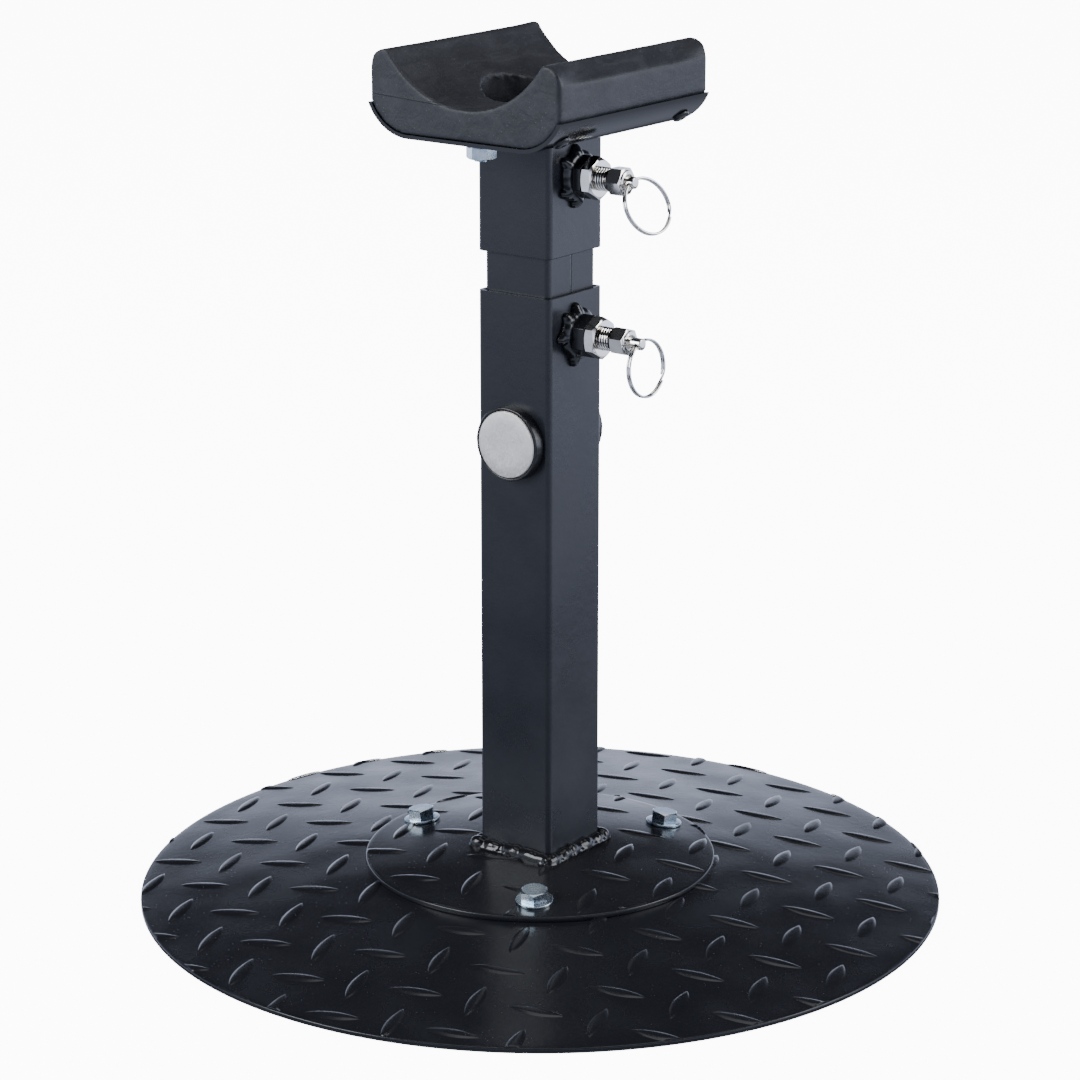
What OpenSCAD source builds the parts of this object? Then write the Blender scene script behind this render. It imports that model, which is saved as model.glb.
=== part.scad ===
// Adjustable farrier's hoof stand: a tread-plate base, a two-stage square post locked by two
// spring plungers, two tool magnets and a rubber cradle. Origin at the centre of the base, on the
// floor, +Z up. The plungers face +X, the magnets face -Y and +Y, and the cradle's trough runs
// along Y.

/* [Base] */
// Diameter of the round base plate
base_d = 420; // [320:5:480]
// Sheet thickness of the base plate and of the flange plate
plate_t = 3; // [2:0.5:4]
// Slope of the pressed cone of the base, in degrees
cone_angle = 6.8; // [4:0.1:8]
// Radius of the rounded crown in the middle of the base
crown_r = 75; // [60:1:90]
// Width of the flat annulus that the rim stands on
rim_flat = 2; // [1:0.5:4]
// Diameter of the flange plate under the post
flange_d = 183.5; // [170:0.5:220]

/* [Base bolts] */
// Distance from the flange's edge to the middle of each bolt
bolt_edge = 16.75; // [12:0.25:24]
// Number of bolts on the circle
bolt_count = 3; // [3:1:6]
// Turn of the first bolt about the post, in degrees
bolt_turn = -55.5; // [-90:0.5:90]
// Thread diameter of the bolts
bolt_d = 8; // [6:1:10]
// Length of thread left below the nuts
bolt_show = 2.3; // [1:0.1:4]
// Outside diameter of the flat washers
washer_d = 19; // [16:0.5:22]
// Thickness of the flat washers
washer_t = 1.6; // [1:0.2:2]

/* [Post] */
// Width of the lower tube and of the head sleeve
outer_tube_w = 45; // [40:1:60]
// Wall thickness of all three tubes
tube_t = 2; // [1.5:0.5:3]
// Corner radius of the tubes
tube_corner_r = 3; // [2:0.5:4]
// Gap on each side between the sliding tubes
slide_gap = 0.5; // [0.3:0.1:0.8]
// Height of the top of the lower tube above the floor
lower_tube_top = 322.8; // [280:0.1:380]
// Length of the inner tube shown between the lower tube and the head sleeve
post_show = 20; // [10:1:26]
// Length of the head sleeve
sleeve_l = 60; // [50:1:80]
// Room under the inner tube's foot, above the flange plate
foot_room = 26.2; // [22:0.1:60]
// Leg of the weld bead at the foot of the post
foot_weld_leg = 4.5; // [3:0.5:7]

/* [Height holes] */
// Distance between the height holes in the inner tube
hole_pitch = 31.75; // [25:0.25:40]
// Shortest length of inner tube left below the lowest height hole
hole_end_room = 74; // [50:1:120]
// Room round the pin's nose in a height hole
height_hole_room = 1; // [0.6:0.1:2]

/* [Plungers] */
// Height of the lower plunger below the top of the lower tube
lower_plunger_drop = 20.8; // [18:0.1:40]
// Height of the upper plunger above the bottom of the head sleeve
upper_plunger_rise = 39.3; // [24:0.1:42]
// Diameter of the plunger's nose and pin
pin_d = 6; // [5:0.5:6]
// Length of the upper pin, drawn with its nose clear of the inner tube
upper_pin_l = 38.0; // [37:0.1:48]
// Length of the lower pin
lower_pin_l = 43.1; // [40:0.1:48]
// Thread diameter of the plunger barrel
barrel_d = 12; // [12:1:14]
// Length of the plunger's threaded barrel
barrel_l = 22.2; // [20:0.1:26]
// Width across flats of the weld nuts and jam nuts
nut_af = 19; // [19:1:22]
// Thickness of the upper weld nut
upper_weld_nut_h = 9; // [8:0.1:13]
// Thickness of the lower weld nut
lower_weld_nut_h = 11.5; // [8:0.1:13]
// Thickness of the jam nuts
jam_nut_h = 6; // [5:0.5:7]
// Width across flats of the plunger body's hexagon
body_af = 13; // [13:0.5:15]
// Length of the plunger body's hexagon
body_hex_l = 8; // [6:0.5:12]
// Gap from the upper sleeve's face to the inner end of its barrel
upper_barrel_set = 0.3; // [0.3:0.1:3]
// Gap from the lower tube's face to the inner end of its barrel
lower_barrel_set = 2.6; // [0.3:0.1:3]
// Turn of the upper body's hexagon about the pin, in degrees
upper_hex_turn = 30; // [0:1:59]
// Turn of the lower body's hexagon about the pin, in degrees
lower_hex_turn = 13; // [0:1:59]
// Thickness of the plunger spring's wire
spring_wire_d = 0.8; // [0.6:0.1:0.9]
// Number of turns of the plunger spring
spring_turns = 8; // [5:1:9]

/* [Pull rings] */
// Outside diameter of the split rings
ring_d = 30; // [26:0.5:36]
// Thickness of the ring's wire
ring_wire_d = 1.45; // [1.2:0.05:1.5]
// Turn of the upper pin's cross hole about the pin, in degrees
upper_ring_turn = 22; // [0:1:30]
// Turn of the lower pin's cross hole about the pin, in degrees
lower_ring_turn = 21; // [0:1:30]
// Outward lean of the upper ring from hanging straight, in degrees
upper_ring_lean = 27; // [0:0.5:60]
// Outward lean of the lower ring from hanging straight, in degrees
lower_ring_lean = 5; // [0:0.5:60]

/* [Magnets] */
// Diameter of the magnet cups
magnet_cup_d = 38; // [30:0.5:40]
// Depth of the magnet cups
magnet_cup_h = 6; // [5:0.5:10]
// Diameter of the magnet discs
magnet_disc_d = 35; // [27:0.5:37]
// Height of the magnets above the floor
magnet_z = 247; // [150:1:270]

/* [Cradle] */
// Length of the tray, along the trough
tray_l = 125; // [110:1:150]
// Width of the tray's flat floor
tray_floor_w = 68; // [60:1:76]
// Outside radius of the tray's rounded sides
tray_side_r = 27; // [24:0.5:30]
// Height of the tray's sides
tray_h = 16.2; // [14:0.1:20]
// Sheet thickness of the tray
tray_t = 2; // [1.5:0.5:2.5]
// Distance from the tray's outer edge in to the pad's side
pad_inset = 0.75; // [0.3:0.05:1.5]
// Distance from the tray's end in to the pad's end face
pad_end_gap = 0.5; // [0:0.1:2]
// Height of the pad's ridges above the tray's underside
pad_ridge_h = 43.2; // [40:0.1:48]
// Height of the pad's outer shoulders above the tray's underside
pad_shoulder_h = 33.7; // [28:0.1:36]
// Radius of the trough
trough_r = 56; // [50:0.5:64]
// Height of the trough's lowest line above the tray's underside
trough_floor_h = 17.4; // [15:0.1:20]
// Diameter of the hole through the middle of the pad
pad_hole_d = 58; // [40:1:64]
// Distance of each pad bolt from the tray's end
pad_bolt_inset = 14.8; // [11:0.1:20]
// Distance of each tray screw from the tray's end
tray_screw_inset = 12.5; // [8:0.5:20]
// Diameter of the tray screws' heads
tray_screw_head_d = 9; // [7:0.5:10]

/* [Hidden] */
$fn = 64;
cut = 1;

// Pressed cone with a rounded crown, described by its underside
base_r = base_d / 2;
cone_foot_r = base_r - rim_flat;
crown_sphere_r = crown_r / sin(cone_angle);
crown_centre_z = (cone_foot_r - crown_r) * tan(cone_angle) - crown_sphere_r * cos(cone_angle);
crown_steps = 8;
flange_top = 2 * plate_t;

// Bolts stand square to the plates
bolt_r = flange_d / 2 - bolt_edge;
bolt_tilt = min(cone_angle, asin(bolt_r / (crown_sphere_r + flange_top)));
bolt_hole_d = bolt_d + 1;
bolt_head_h = 0.66 * bolt_d;
bolt_head_af = 1.625 * bolt_d;
bolt_nut_h = 0.8 * bolt_d;
under_gap = 0.1;
under_face = -flange_top - under_gap;
bolt_l = washer_t - under_face + washer_t + bolt_nut_h + bolt_show;

// Post, from the floor up
outer_bore_w = outer_tube_w - 2 * tube_t;
inner_tube_w = outer_bore_w - 2 * slide_gap;
tube_face = outer_tube_w / 2;
sleeve_z = lower_tube_top + post_show;
tray_z = sleeve_z + sleeve_l;
stop_gap = 0.3;
inner_tube_top = tray_z - stop_gap;
inner_tube_z = dome_z(flange_top, 0) + foot_room;
inner_tube_l = inner_tube_top - inner_tube_z;
lower_plunger_z = lower_tube_top - lower_plunger_drop;
upper_plunger_z = sleeve_z + upper_plunger_rise;
height_hole_d = pin_d + height_hole_room;
hole_count = 1 + floor((upper_plunger_z - inner_tube_z - hole_end_room) / hole_pitch);

// Plungers, measured outwards from the tube's face
fit_gap = 0.05;
pin_tip = -tube_t - slide_gap + stop_gap;
nose_hole_d = pin_d + 2;
collar_h = 1;
collar_d = body_af - 4;
bore_flare = 0.9;
spring_side_gap = 0.3;
chamber_d = pin_d + 2 * spring_wire_d + 4 * spring_side_gap;
chamber_in = 3.5;
chamber_wall = 4;
pin_collar_d = chamber_d - 0.7;
pin_collar_h = 2;
pin_collar_at = 13.1;
pin_chamfer = 0.8;
spring_seat_gap = 0.1;
ring_hole_d = ring_wire_d * 2 + 0.8;
ring_hole_back = 2.8;
weld_ring_d = nut_af / cos(30) + 7;
weld_ring_h = 5;
weld_lump_r = 4.2;
weld_lump_at = nut_af / 2 + 2.8;

// Split rings: two turns of wire side by side
ring_mean_r = (ring_d - ring_wire_d) / 2;
ring_sag = ring_mean_r - sqrt(pow(ring_mean_r, 2) - pow(pin_d / 2, 2));
ring_drop = ring_mean_r - ring_sag / 2;

// Magnets
magnet_seat = 1;
magnet_proud = 0.5;

// Cradle
pad_bolt_d = 8;
pad_bolt_head_h = 5.3;
pad_bolt_af = 13;
pad_nut_flange_d = 17.9;
pad_nut_flange_h = 1.8;
pad_nut_h = 8;
pad_bolt_end = 9.2;
pad_side_gap = 0.3;
tray_lip_x = tray_floor_w / 2 + sqrt(pow(tray_side_r, 2) - pow(tray_side_r - tray_h, 2));
pad_w = 2 * (tray_lip_x - pad_inset);
pad_l = tray_l - 2 * pad_end_gap;
pad_bolt_y = tray_l / 2 - pad_bolt_inset;
tray_screw_y = tray_l / 2 - tray_screw_inset;
ridge_land = 1.5;
ridge_x = sqrt(pow(trough_r, 2) - pow(trough_r + trough_floor_h - pad_ridge_h, 2));
tray_screw_angle = 36.4;
tray_screw_d = 4;
tray_screw_l = 12;
tray_screw_head_h = 2.2;
tray_weld_leg = 4;

// Height above the floor of the surface that lies `off` above the underside, at radius r
function dome_z(off, r) =
    r < (crown_sphere_r + off) * sin(cone_angle)
    ? crown_centre_z + sqrt(pow(crown_sphere_r + off, 2) - r * r)
    : (cone_foot_r - r) * tan(cone_angle) + off / cos(cone_angle);

// Points of that surface from the middle out to r_end
function dome_line(off, r_end) = concat(
    [for (i = [0 : crown_steps])
        let (turn = cone_angle * i / crown_steps)
        [(crown_sphere_r + off) * sin(turn), crown_centre_z + (crown_sphere_r + off) * cos(turn)]],
    [[r_end, dome_z(off, r_end)]]
);

function reversed(list) = [for (i = [len(list) - 1 : -1 : 0]) list[i]];

// Everything under the flange's top surface, used to trim what stands on it
module below_flange(r) {
    rotate_extrude($fn = 128)
        polygon(concat([[0, -cut]], dome_line(flange_top, r), [[r, -cut]]));
}

module rounded_square(w, r) {
    square([w - 2 * r, w], center = true);
    square([w, w - 2 * r], center = true);
    for (x = [-1, 1], y = [-1, 1])
        translate([x * (w / 2 - r), y * (w / 2 - r)]) circle(r = r);
}

module square_tube(w, l) {
    linear_extrude(l) difference() {
        rounded_square(w, tube_corner_r);
        rounded_square(w - 2 * tube_t, max(0.5, tube_corner_r - tube_t));
    }
}

module hexagon(af, h) {
    cylinder(d = af / cos(30), h = h, $fn = 6);
}

// A hexagon with its end corners turned off, as on a nut or a bolt head
module turned_hexagon(af, h, both_ends = true) {
    bevel = af * 0.06;
    corner_d = af / cos(30);
    intersection() {
        hexagon(af, h);
        union() {
            translate([0, 0, both_ends ? bevel : 0])
                cylinder(d = corner_d + 0.1, h = h - bevel * (both_ends ? 2 : 1));
            translate([0, 0, h - bevel]) cylinder(d1 = corner_d + 0.1, d2 = af * 0.95, h = bevel);
            if (both_ends) cylinder(d1 = af * 0.95, d2 = corner_d + 0.1, h = bevel);
        }
    }
}

// A square bead round a tube: vertical face on the tube, sloping face outside
module square_bead(w, leg) {
    slope = [[-w / 2 - leg, 0], [w / 2 + leg, 0], [w / 2, leg], [-w / 2, leg]];
    intersection() {
        rotate([90, 0, 0]) linear_extrude(w + 3 * leg, center = true) polygon(slope);
        rotate([90, 0, 90]) linear_extrude(w + 3 * leg, center = true) polygon(slope);
    }
}

// Places children at each base bolt: z = 0 on the flange's top, +Z square to the plates
module at_base_bolts() {
    for (i = [0 : bolt_count - 1])
        rotate([0, 0, bolt_turn + 360 * i / bolt_count])
            translate([bolt_r, 0, dome_z(flange_top, bolt_r)])
                rotate([0, bolt_tilt, 0]) children();
}

// Places children with +Z pointing out of the tube's +X face at height z
module on_post_face(z) {
    translate([tube_face, 0, z]) rotate([0, 90, 0]) children();
}

module dome_plate(off, r, r_bottom) {
    rotate_extrude($fn = 128)
        polygon(concat(dome_line(off, r_bottom), reversed(dome_line(off + plate_t, r))));
}

module base_plate() {
    color("#1d1f24") difference() {
        rotate_extrude($fn = 128)
            polygon(concat(dome_line(0, cone_foot_r), [[base_r, 0]], reversed(dome_line(plate_t, base_r))));
        at_base_bolts() translate([0, 0, -3 * flange_top]) cylinder(d = bolt_hole_d, h = 4 * flange_top);
    }
}

module flange_plate() {
    color("#1b1d21") difference() {
        dome_plate(plate_t, flange_d / 2, flange_d / 2);
        at_base_bolts() translate([0, 0, -3 * flange_top]) cylinder(d = bolt_hole_d, h = 4 * flange_top);
    }
}

module base_bolts() {
    color("#b7c0c8") at_base_bolts() {
        translate([0, 0, washer_t]) turned_hexagon(bolt_head_af, bolt_head_h, false);
        translate([0, 0, washer_t - bolt_l]) cylinder(d = bolt_d, h = bolt_l + cut);
    }
}

module washer_ring() {
    difference() {
        cylinder(d = washer_d, h = washer_t);
        translate([0, 0, -cut]) cylinder(d = bolt_d + 0.4, h = washer_t + 2 * cut);
    }
}

module base_washers() {
    color("#b7c0c8") at_base_bolts() washer_ring();
}

module base_lower_washers() {
    color("#b7c0c8") at_base_bolts() translate([0, 0, under_face - washer_t]) washer_ring();
}

module base_nuts() {
    color("#b7c0c8") at_base_bolts() translate([0, 0, under_face - washer_t - bolt_nut_h])
        difference() {
            turned_hexagon(bolt_head_af, bolt_nut_h);
            translate([0, 0, -cut]) cylinder(d = bolt_d + 2 * fit_gap, h = bolt_nut_h + 2 * cut);
        }
}

module lower_tube() {
    color("#24262c") difference() {
        square_tube(outer_tube_w, lower_tube_top);
        below_flange(flange_d / 2);
        translate([0, 0, lower_plunger_z]) rotate([0, 90, 0])
            cylinder(d = nose_hole_d, h = outer_tube_w);
    }
}

module foot_weld() {
    bead_drop = 2;
    color("#16171a") difference() {
        translate([0, 0, dome_z(flange_top, 0) - bead_drop])
            square_bead(outer_tube_w, foot_weld_leg + bead_drop);
        linear_extrude(lower_tube_top) rounded_square(outer_tube_w, tube_corner_r);
        below_flange(flange_d / 2);
    }
}

// Magnet pieces are drawn facing -Y; side = 180 turns them to +Y
module on_magnet_face(side) {
    rotate([0, 0, side]) translate([0, -tube_face, magnet_z]) rotate([90, 0, 0]) children();
}

module magnet_cup(side) {
    color("#17181b") on_magnet_face(side) difference() {
        cylinder(d = magnet_cup_d, h = magnet_cup_h);
        translate([0, 0, magnet_seat]) cylinder(d = magnet_disc_d + 2 * fit_gap, h = magnet_cup_h);
    }
}

module magnet_disc(side) {
    color("#c9c8c4") on_magnet_face(side) translate([0, 0, magnet_seat])
        cylinder(d = magnet_disc_d, h = magnet_cup_h - magnet_seat + magnet_proud);
}

module weld_nut(z, h) {
    color("#131417") on_post_face(z) difference() {
        hexagon(nut_af, h);
        translate([0, 0, -cut]) cylinder(d = barrel_d + 2 * fit_gap, h = h + 2 * cut);
    }
}

// Bead and run-out lumps round a weld nut
module nut_weld(z, turns) {
    color("#0f1012") on_post_face(z) difference() {
        union() {
            cylinder(d1 = weld_ring_d, d2 = nut_af / cos(30) + 1, h = weld_ring_h);
            for (turn = turns) rotate([0, 0, turn])
                translate([weld_lump_at, 0, 0]) sphere(r = weld_lump_r);
        }
        translate([0, 0, -2 * weld_lump_r])
            cylinder(d = 2 * outer_tube_w, h = 2 * weld_lump_r);
        translate([0, 0, -cut]) hexagon(nut_af, 4 * weld_ring_h);
    }
}

module jam_nut(z, at) {
    color("#d8d6d0") on_post_face(z) translate([0, 0, at]) difference() {
        turned_hexagon(nut_af, jam_nut_h);
        translate([0, 0, -cut]) cylinder(d = barrel_d + 2 * fit_gap, h = jam_nut_h + 2 * cut);
    }
}

// Threaded barrel, hexagon and end collar, bored for the pin and its spring
module plunger_body(z, set, turn) {
    whole = barrel_l + body_hex_l + collar_h;
    color("#d4d2cc") on_post_face(z) translate([0, 0, set]) difference() {
        union() {
            cylinder(d = barrel_d, h = barrel_l + cut);
            translate([0, 0, barrel_l]) rotate([0, 0, turn]) hexagon(body_af, body_hex_l);
            translate([0, 0, barrel_l + body_hex_l - cut])
                cylinder(d1 = body_af - 0.4, d2 = collar_d, h = collar_h + cut);
        }
        translate([0, 0, -cut]) cylinder(d = pin_d + 2 * fit_gap, h = whole + 2 * cut);
        translate([0, 0, chamber_in]) cylinder(d = chamber_d, h = whole - chamber_in - chamber_wall);
        translate([0, 0, whole - bore_flare])
            cylinder(d1 = pin_d, d2 = pin_d + 2 * (bore_flare + cut), h = bore_flare + cut);
    }
}

// One coil spring as a swept tube between two heights
function coil_point(turn, mean_r, z) = [mean_r * cos(turn), mean_r * sin(turn), z];
module coil(mean_r, wire_d, turns, z0, z1) {
    per_turn = 16;
    sides = 6;
    rings = turns * per_turn;
    points = [
        for (i = [0 : rings], k = [0 : sides - 1])
            let (turn = 360 * i / per_turn, round = 360 * k / sides)
            coil_point(
                turn,
                mean_r + wire_d / 2 * cos(round),
                z0 + (z1 - z0) * i / rings + wire_d / 2 * sin(round)
            )
    ];
    faces = concat(
        [[for (k = [0 : sides - 1]) k]],
        [for (i = [0 : rings - 1], k = [0 : sides - 1])
            [i * sides + k, (i + 1) * sides + k, (i + 1) * sides + (k + 1) % sides, i * sides + (k + 1) % sides]],
        [[for (k = [sides - 1 : -1 : 0]) rings * sides + k]]
    );
    polyhedron(points = points, faces = faces, convexity = 10);
}

module plunger_spring(z, set) {
    chamber_end = set + barrel_l + body_hex_l + collar_h - chamber_wall;
    color("#9a9a96") on_post_face(z)
        coil(
            (pin_d + chamber_d) / 4,
            spring_wire_d,
            spring_turns,
            pin_tip + pin_collar_at + pin_collar_h + spring_seat_gap + spring_wire_d / 2,
            chamber_end - spring_seat_gap - spring_wire_d / 2
        );
}

// Nose, collar and cross-drilled outer end in one piece
module pin(z, l, turn) {
    color("#dddbd6") on_post_face(z) translate([0, 0, pin_tip]) difference() {
        union() {
            cylinder(d1 = pin_d - 2 * pin_chamfer, d2 = pin_d, h = pin_chamfer);
            translate([0, 0, pin_chamfer]) cylinder(d = pin_d, h = l - 2 * pin_chamfer);
            translate([0, 0, l - pin_chamfer])
                cylinder(d1 = pin_d, d2 = pin_d - 2 * pin_chamfer, h = pin_chamfer);
            translate([0, 0, pin_collar_at]) cylinder(d = pin_collar_d, h = pin_collar_h);
        }
        translate([0, 0, l - ring_hole_back]) rotate([0, 0, turn]) rotate([90, 0, 0])
            cylinder(d = ring_hole_d, h = 2 * pin_d, center = true);
    }
}

// The ring hangs through the pin's cross hole and leans outwards
module pull_ring(z, pin_l, turn, lean) {
    color("#e2e0db")
        translate([tube_face + pin_tip + pin_l - ring_hole_back, 0, z])
            rotate([turn, 0, 0]) rotate([0, -lean, 0]) translate([0, 0, -ring_drop])
                rotate([0, 90, 0]) rotate_extrude($fn = 96) {
                    translate([ring_mean_r - ring_wire_d / 2, -ring_wire_d / 2])
                        square([ring_wire_d, ring_wire_d]);
                    for (side = [-1, 1]) translate([ring_mean_r, side * ring_wire_d / 2])
                        circle(d = ring_wire_d, $fn = 32);
                }
}

module inner_tube() {
    color("#202227") difference() {
        translate([0, 0, inner_tube_z]) square_tube(inner_tube_w, inner_tube_l);
        for (i = [0 : hole_count - 1])
            translate([0, 0, upper_plunger_z - i * hole_pitch]) rotate([0, 90, 0])
                cylinder(d = height_hole_d, h = inner_tube_w);
    }
}

module head_sleeve() {
    color("#24262c") difference() {
        translate([0, 0, sleeve_z]) square_tube(outer_tube_w, sleeve_l);
        translate([0, 0, upper_plunger_z]) rotate([0, 90, 0])
            cylinder(d = nose_hole_d, h = outer_tube_w);
    }
}

// Outline of the tray at a given inset from its outer face: a flat floor with round sides
module tray_outline(inset) {
    r = tray_side_r - inset;
    translate([-tray_floor_w / 2, inset]) square([tray_floor_w, 2 * r]);
    for (side = [-1, 1]) translate([side * tray_floor_w / 2, tray_side_r]) circle(r = r, $fn = 96);
}

// Draws a 2D outline in X and Z along the trough, centred on the post
module along_trough(l) {
    translate([0, 0, tray_z]) rotate([90, 0, 0]) linear_extrude(l, center = true) children();
}

module at_pad_bolts() {
    for (side = [-1, 1]) translate([0, side * pad_bolt_y, tray_z]) children();
}

// Places children at each tray screw: z = 0 on the tray's outside, +Z pointing out of it
module at_tray_screws() {
    for (side = [0, 180], y = [-1, 1])
        rotate([0, 0, side])
            translate([tray_floor_w / 2, y * tray_screw_y, tray_z + tray_side_r])
                rotate([0, 180 - tray_screw_angle, 0]) translate([0, 0, tray_side_r]) children();
}

module cradle_tray() {
    color("#15161a") difference() {
        along_trough(tray_l) difference() {
            intersection() {
                tray_outline(0);
                translate([-pad_w, 0]) square([2 * pad_w, tray_h]);
            }
            tray_outline(tray_t);
        }
        at_pad_bolts() translate([0, 0, -cut]) cylinder(d = pad_bolt_d + 0.6, h = tray_t + 2 * cut);
        at_tray_screws() translate([0, 0, -2 * tray_t]) cylinder(d = tray_screw_d + 0.4, h = 3 * tray_t);
    }
}

module tray_weld() {
    color("#121316") difference() {
        translate([0, 0, tray_z]) mirror([0, 0, 1]) square_bead(outer_tube_w, tray_weld_leg);
        translate([0, 0, sleeve_z]) linear_extrude(2 * sleeve_l) rounded_square(outer_tube_w, tube_corner_r);
    }
}

module rubber_pad() {
    color("#2b2d31") difference() {
        along_trough(pad_l) difference() {
            union() {
                intersection() {
                    tray_outline(tray_t);
                    translate([-pad_w, 0]) square([2 * pad_w, tray_h + pad_side_gap]);
                }
                polygon([
                    [-pad_w / 2, tray_h + pad_side_gap],
                    [pad_w / 2, tray_h + pad_side_gap],
                    [pad_w / 2, pad_shoulder_h],
                    [ridge_x + ridge_land, pad_ridge_h],
                    [-ridge_x - ridge_land, pad_ridge_h],
                    [-pad_w / 2, pad_shoulder_h]
                ]);
            }
            translate([0, trough_floor_h + trough_r]) circle(r = trough_r, $fn = 128);
        }
        translate([0, 0, tray_z]) cylinder(d = pad_hole_d, h = pad_ridge_h + cut);
        at_pad_bolts() {
            translate([0, 0, tray_t - cut]) cylinder(d = pad_bolt_d, h = pad_bolt_head_h);
            translate([0, 0, tray_t + cut]) hexagon(pad_bolt_af, pad_bolt_head_h);
        }
        at_tray_screws() translate([0, 0, -tray_screw_l]) cylinder(d = tray_screw_d, h = tray_screw_l);
    }
}

// Bolt heads are moulded into the pad, a little above the tray's floor
module pad_bolts() {
    color("#aab2b8") at_pad_bolts() {
        translate([0, 0, tray_t + cut]) hexagon(pad_bolt_af, pad_bolt_head_h);
        translate([0, 0, -pad_bolt_end]) cylinder(d = pad_bolt_d, h = pad_bolt_end + tray_t + 2 * cut);
    }
}

module pad_nuts() {
    color("#b7c0c8") at_pad_bolts() mirror([0, 0, 1]) difference() {
        union() {
            cylinder(d = pad_nut_flange_d, h = 0.6);
            translate([0, 0, 0.6])
                cylinder(d1 = pad_nut_flange_d, d2 = pad_bolt_af, h = pad_nut_flange_h);
            turned_hexagon(pad_bolt_af, pad_nut_h, false);
        }
        translate([0, 0, -cut]) cylinder(d = pad_bolt_d + 2 * fit_gap, h = pad_nut_h + 2 * cut);
    }
}

module tray_screws() {
    color("#1a1b1e") at_tray_screws() {
        difference() {
            cylinder(d1 = tray_screw_head_d, d2 = tray_screw_head_d * 0.75, h = tray_screw_head_h);
            translate([0, 0, tray_screw_head_h * 0.45]) cylinder(d = 3, h = tray_screw_head_h);
        }
        translate([0, 0, -tray_screw_l]) cylinder(d = tray_screw_d, h = tray_screw_l + 0.5);
    }
}

base_plate();
flange_plate();
base_bolts();
base_washers();
base_lower_washers();
base_nuts();
lower_tube();
foot_weld();
magnet_cup(0);  // magnet_cup_front
magnet_cup(180);  // magnet_cup_back
magnet_disc(0);  // magnet_disc_front
magnet_disc(180);  // magnet_disc_back
weld_nut(lower_plunger_z, lower_weld_nut_h);  // lower_weld_nut
nut_weld(lower_plunger_z, [85, 185, 225, 268, 345]);  // lower_nut_weld
jam_nut(lower_plunger_z, lower_weld_nut_h);  // lower_jam_nut
plunger_body(lower_plunger_z, lower_barrel_set, lower_hex_turn);  // lower_plunger_body
plunger_spring(lower_plunger_z, lower_barrel_set);  // lower_plunger_spring
pin(lower_plunger_z, lower_pin_l, lower_ring_turn);  // lower_pin
pull_ring(lower_plunger_z, lower_pin_l, lower_ring_turn, lower_ring_lean);  // lower_pull_ring
inner_tube();
head_sleeve();
weld_nut(upper_plunger_z, upper_weld_nut_h);  // upper_weld_nut
nut_weld(upper_plunger_z, [90, 190, 235, 305, 350]);  // upper_nut_weld
jam_nut(upper_plunger_z, upper_weld_nut_h);  // upper_jam_nut
plunger_body(upper_plunger_z, upper_barrel_set, upper_hex_turn);  // upper_plunger_body
plunger_spring(upper_plunger_z, upper_barrel_set);  // upper_plunger_spring
pin(upper_plunger_z, upper_pin_l, upper_ring_turn);  // upper_pin
pull_ring(upper_plunger_z, upper_pin_l, upper_ring_turn, upper_ring_lean);  // upper_pull_ring
cradle_tray();
tray_weld();
rubber_pad();
pad_bolts();
pad_nuts();
tray_screws();
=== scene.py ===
"""Looks of an adjustable farrier's hoof stand: tread-plate base, telescoping post, rubber cradle.

Metres throughout, in the part's own frame: the floor is z = 0, the post stands on the Z axis, the
spring plungers face +X, the tool magnets face -Y and +Y, and the cradle's trough runs along Y.
"""

import math

import bmesh
import bpy
from mathutils import Matrix, Vector, noise


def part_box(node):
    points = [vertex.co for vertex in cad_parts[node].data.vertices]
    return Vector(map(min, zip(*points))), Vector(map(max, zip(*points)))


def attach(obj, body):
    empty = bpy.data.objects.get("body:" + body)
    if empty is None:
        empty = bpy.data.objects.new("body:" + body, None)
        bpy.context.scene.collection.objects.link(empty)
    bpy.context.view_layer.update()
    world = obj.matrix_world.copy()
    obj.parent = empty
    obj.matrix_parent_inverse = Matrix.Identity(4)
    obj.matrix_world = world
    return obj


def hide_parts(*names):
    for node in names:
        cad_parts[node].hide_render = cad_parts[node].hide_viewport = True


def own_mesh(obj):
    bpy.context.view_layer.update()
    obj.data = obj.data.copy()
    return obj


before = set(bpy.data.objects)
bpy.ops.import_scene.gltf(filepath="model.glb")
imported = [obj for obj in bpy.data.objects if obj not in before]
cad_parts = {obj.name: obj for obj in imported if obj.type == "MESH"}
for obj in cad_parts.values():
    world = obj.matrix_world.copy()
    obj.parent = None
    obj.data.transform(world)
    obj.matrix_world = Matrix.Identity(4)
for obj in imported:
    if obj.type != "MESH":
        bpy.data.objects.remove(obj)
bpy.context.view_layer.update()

# ---------------------------------------------------------------------------------------------
# Base plate
# A disc of 3 mm steel tread plate, pressed into a shallow cone with a rounded crown, so that it
# stands on its rim. Black powder coat, satin, with the faint ripple that the press leaves.
SHEET = 0.003
BASE_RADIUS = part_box("base_plate")[1].x
FOOT_RADIUS = BASE_RADIUS - 0.002
SLOPE = math.radians(6.8)
CROWN_RADIUS = 0.075
CROWN_SPHERE = CROWN_RADIUS / math.sin(SLOPE)
CROWN_CENTRE = (FOOT_RADIUS - CROWN_RADIUS) * math.tan(SLOPE) - CROWN_SPHERE * math.cos(SLOPE)
TREAD_PITCH = 0.0309
TREAD_TURN = math.radians(17.3)
LUG_LENGTH = 0.0292
LUG_WIDTH = 0.0078
LUG_HEIGHT = 0.0009
LUG_SINK = 0.00008


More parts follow.
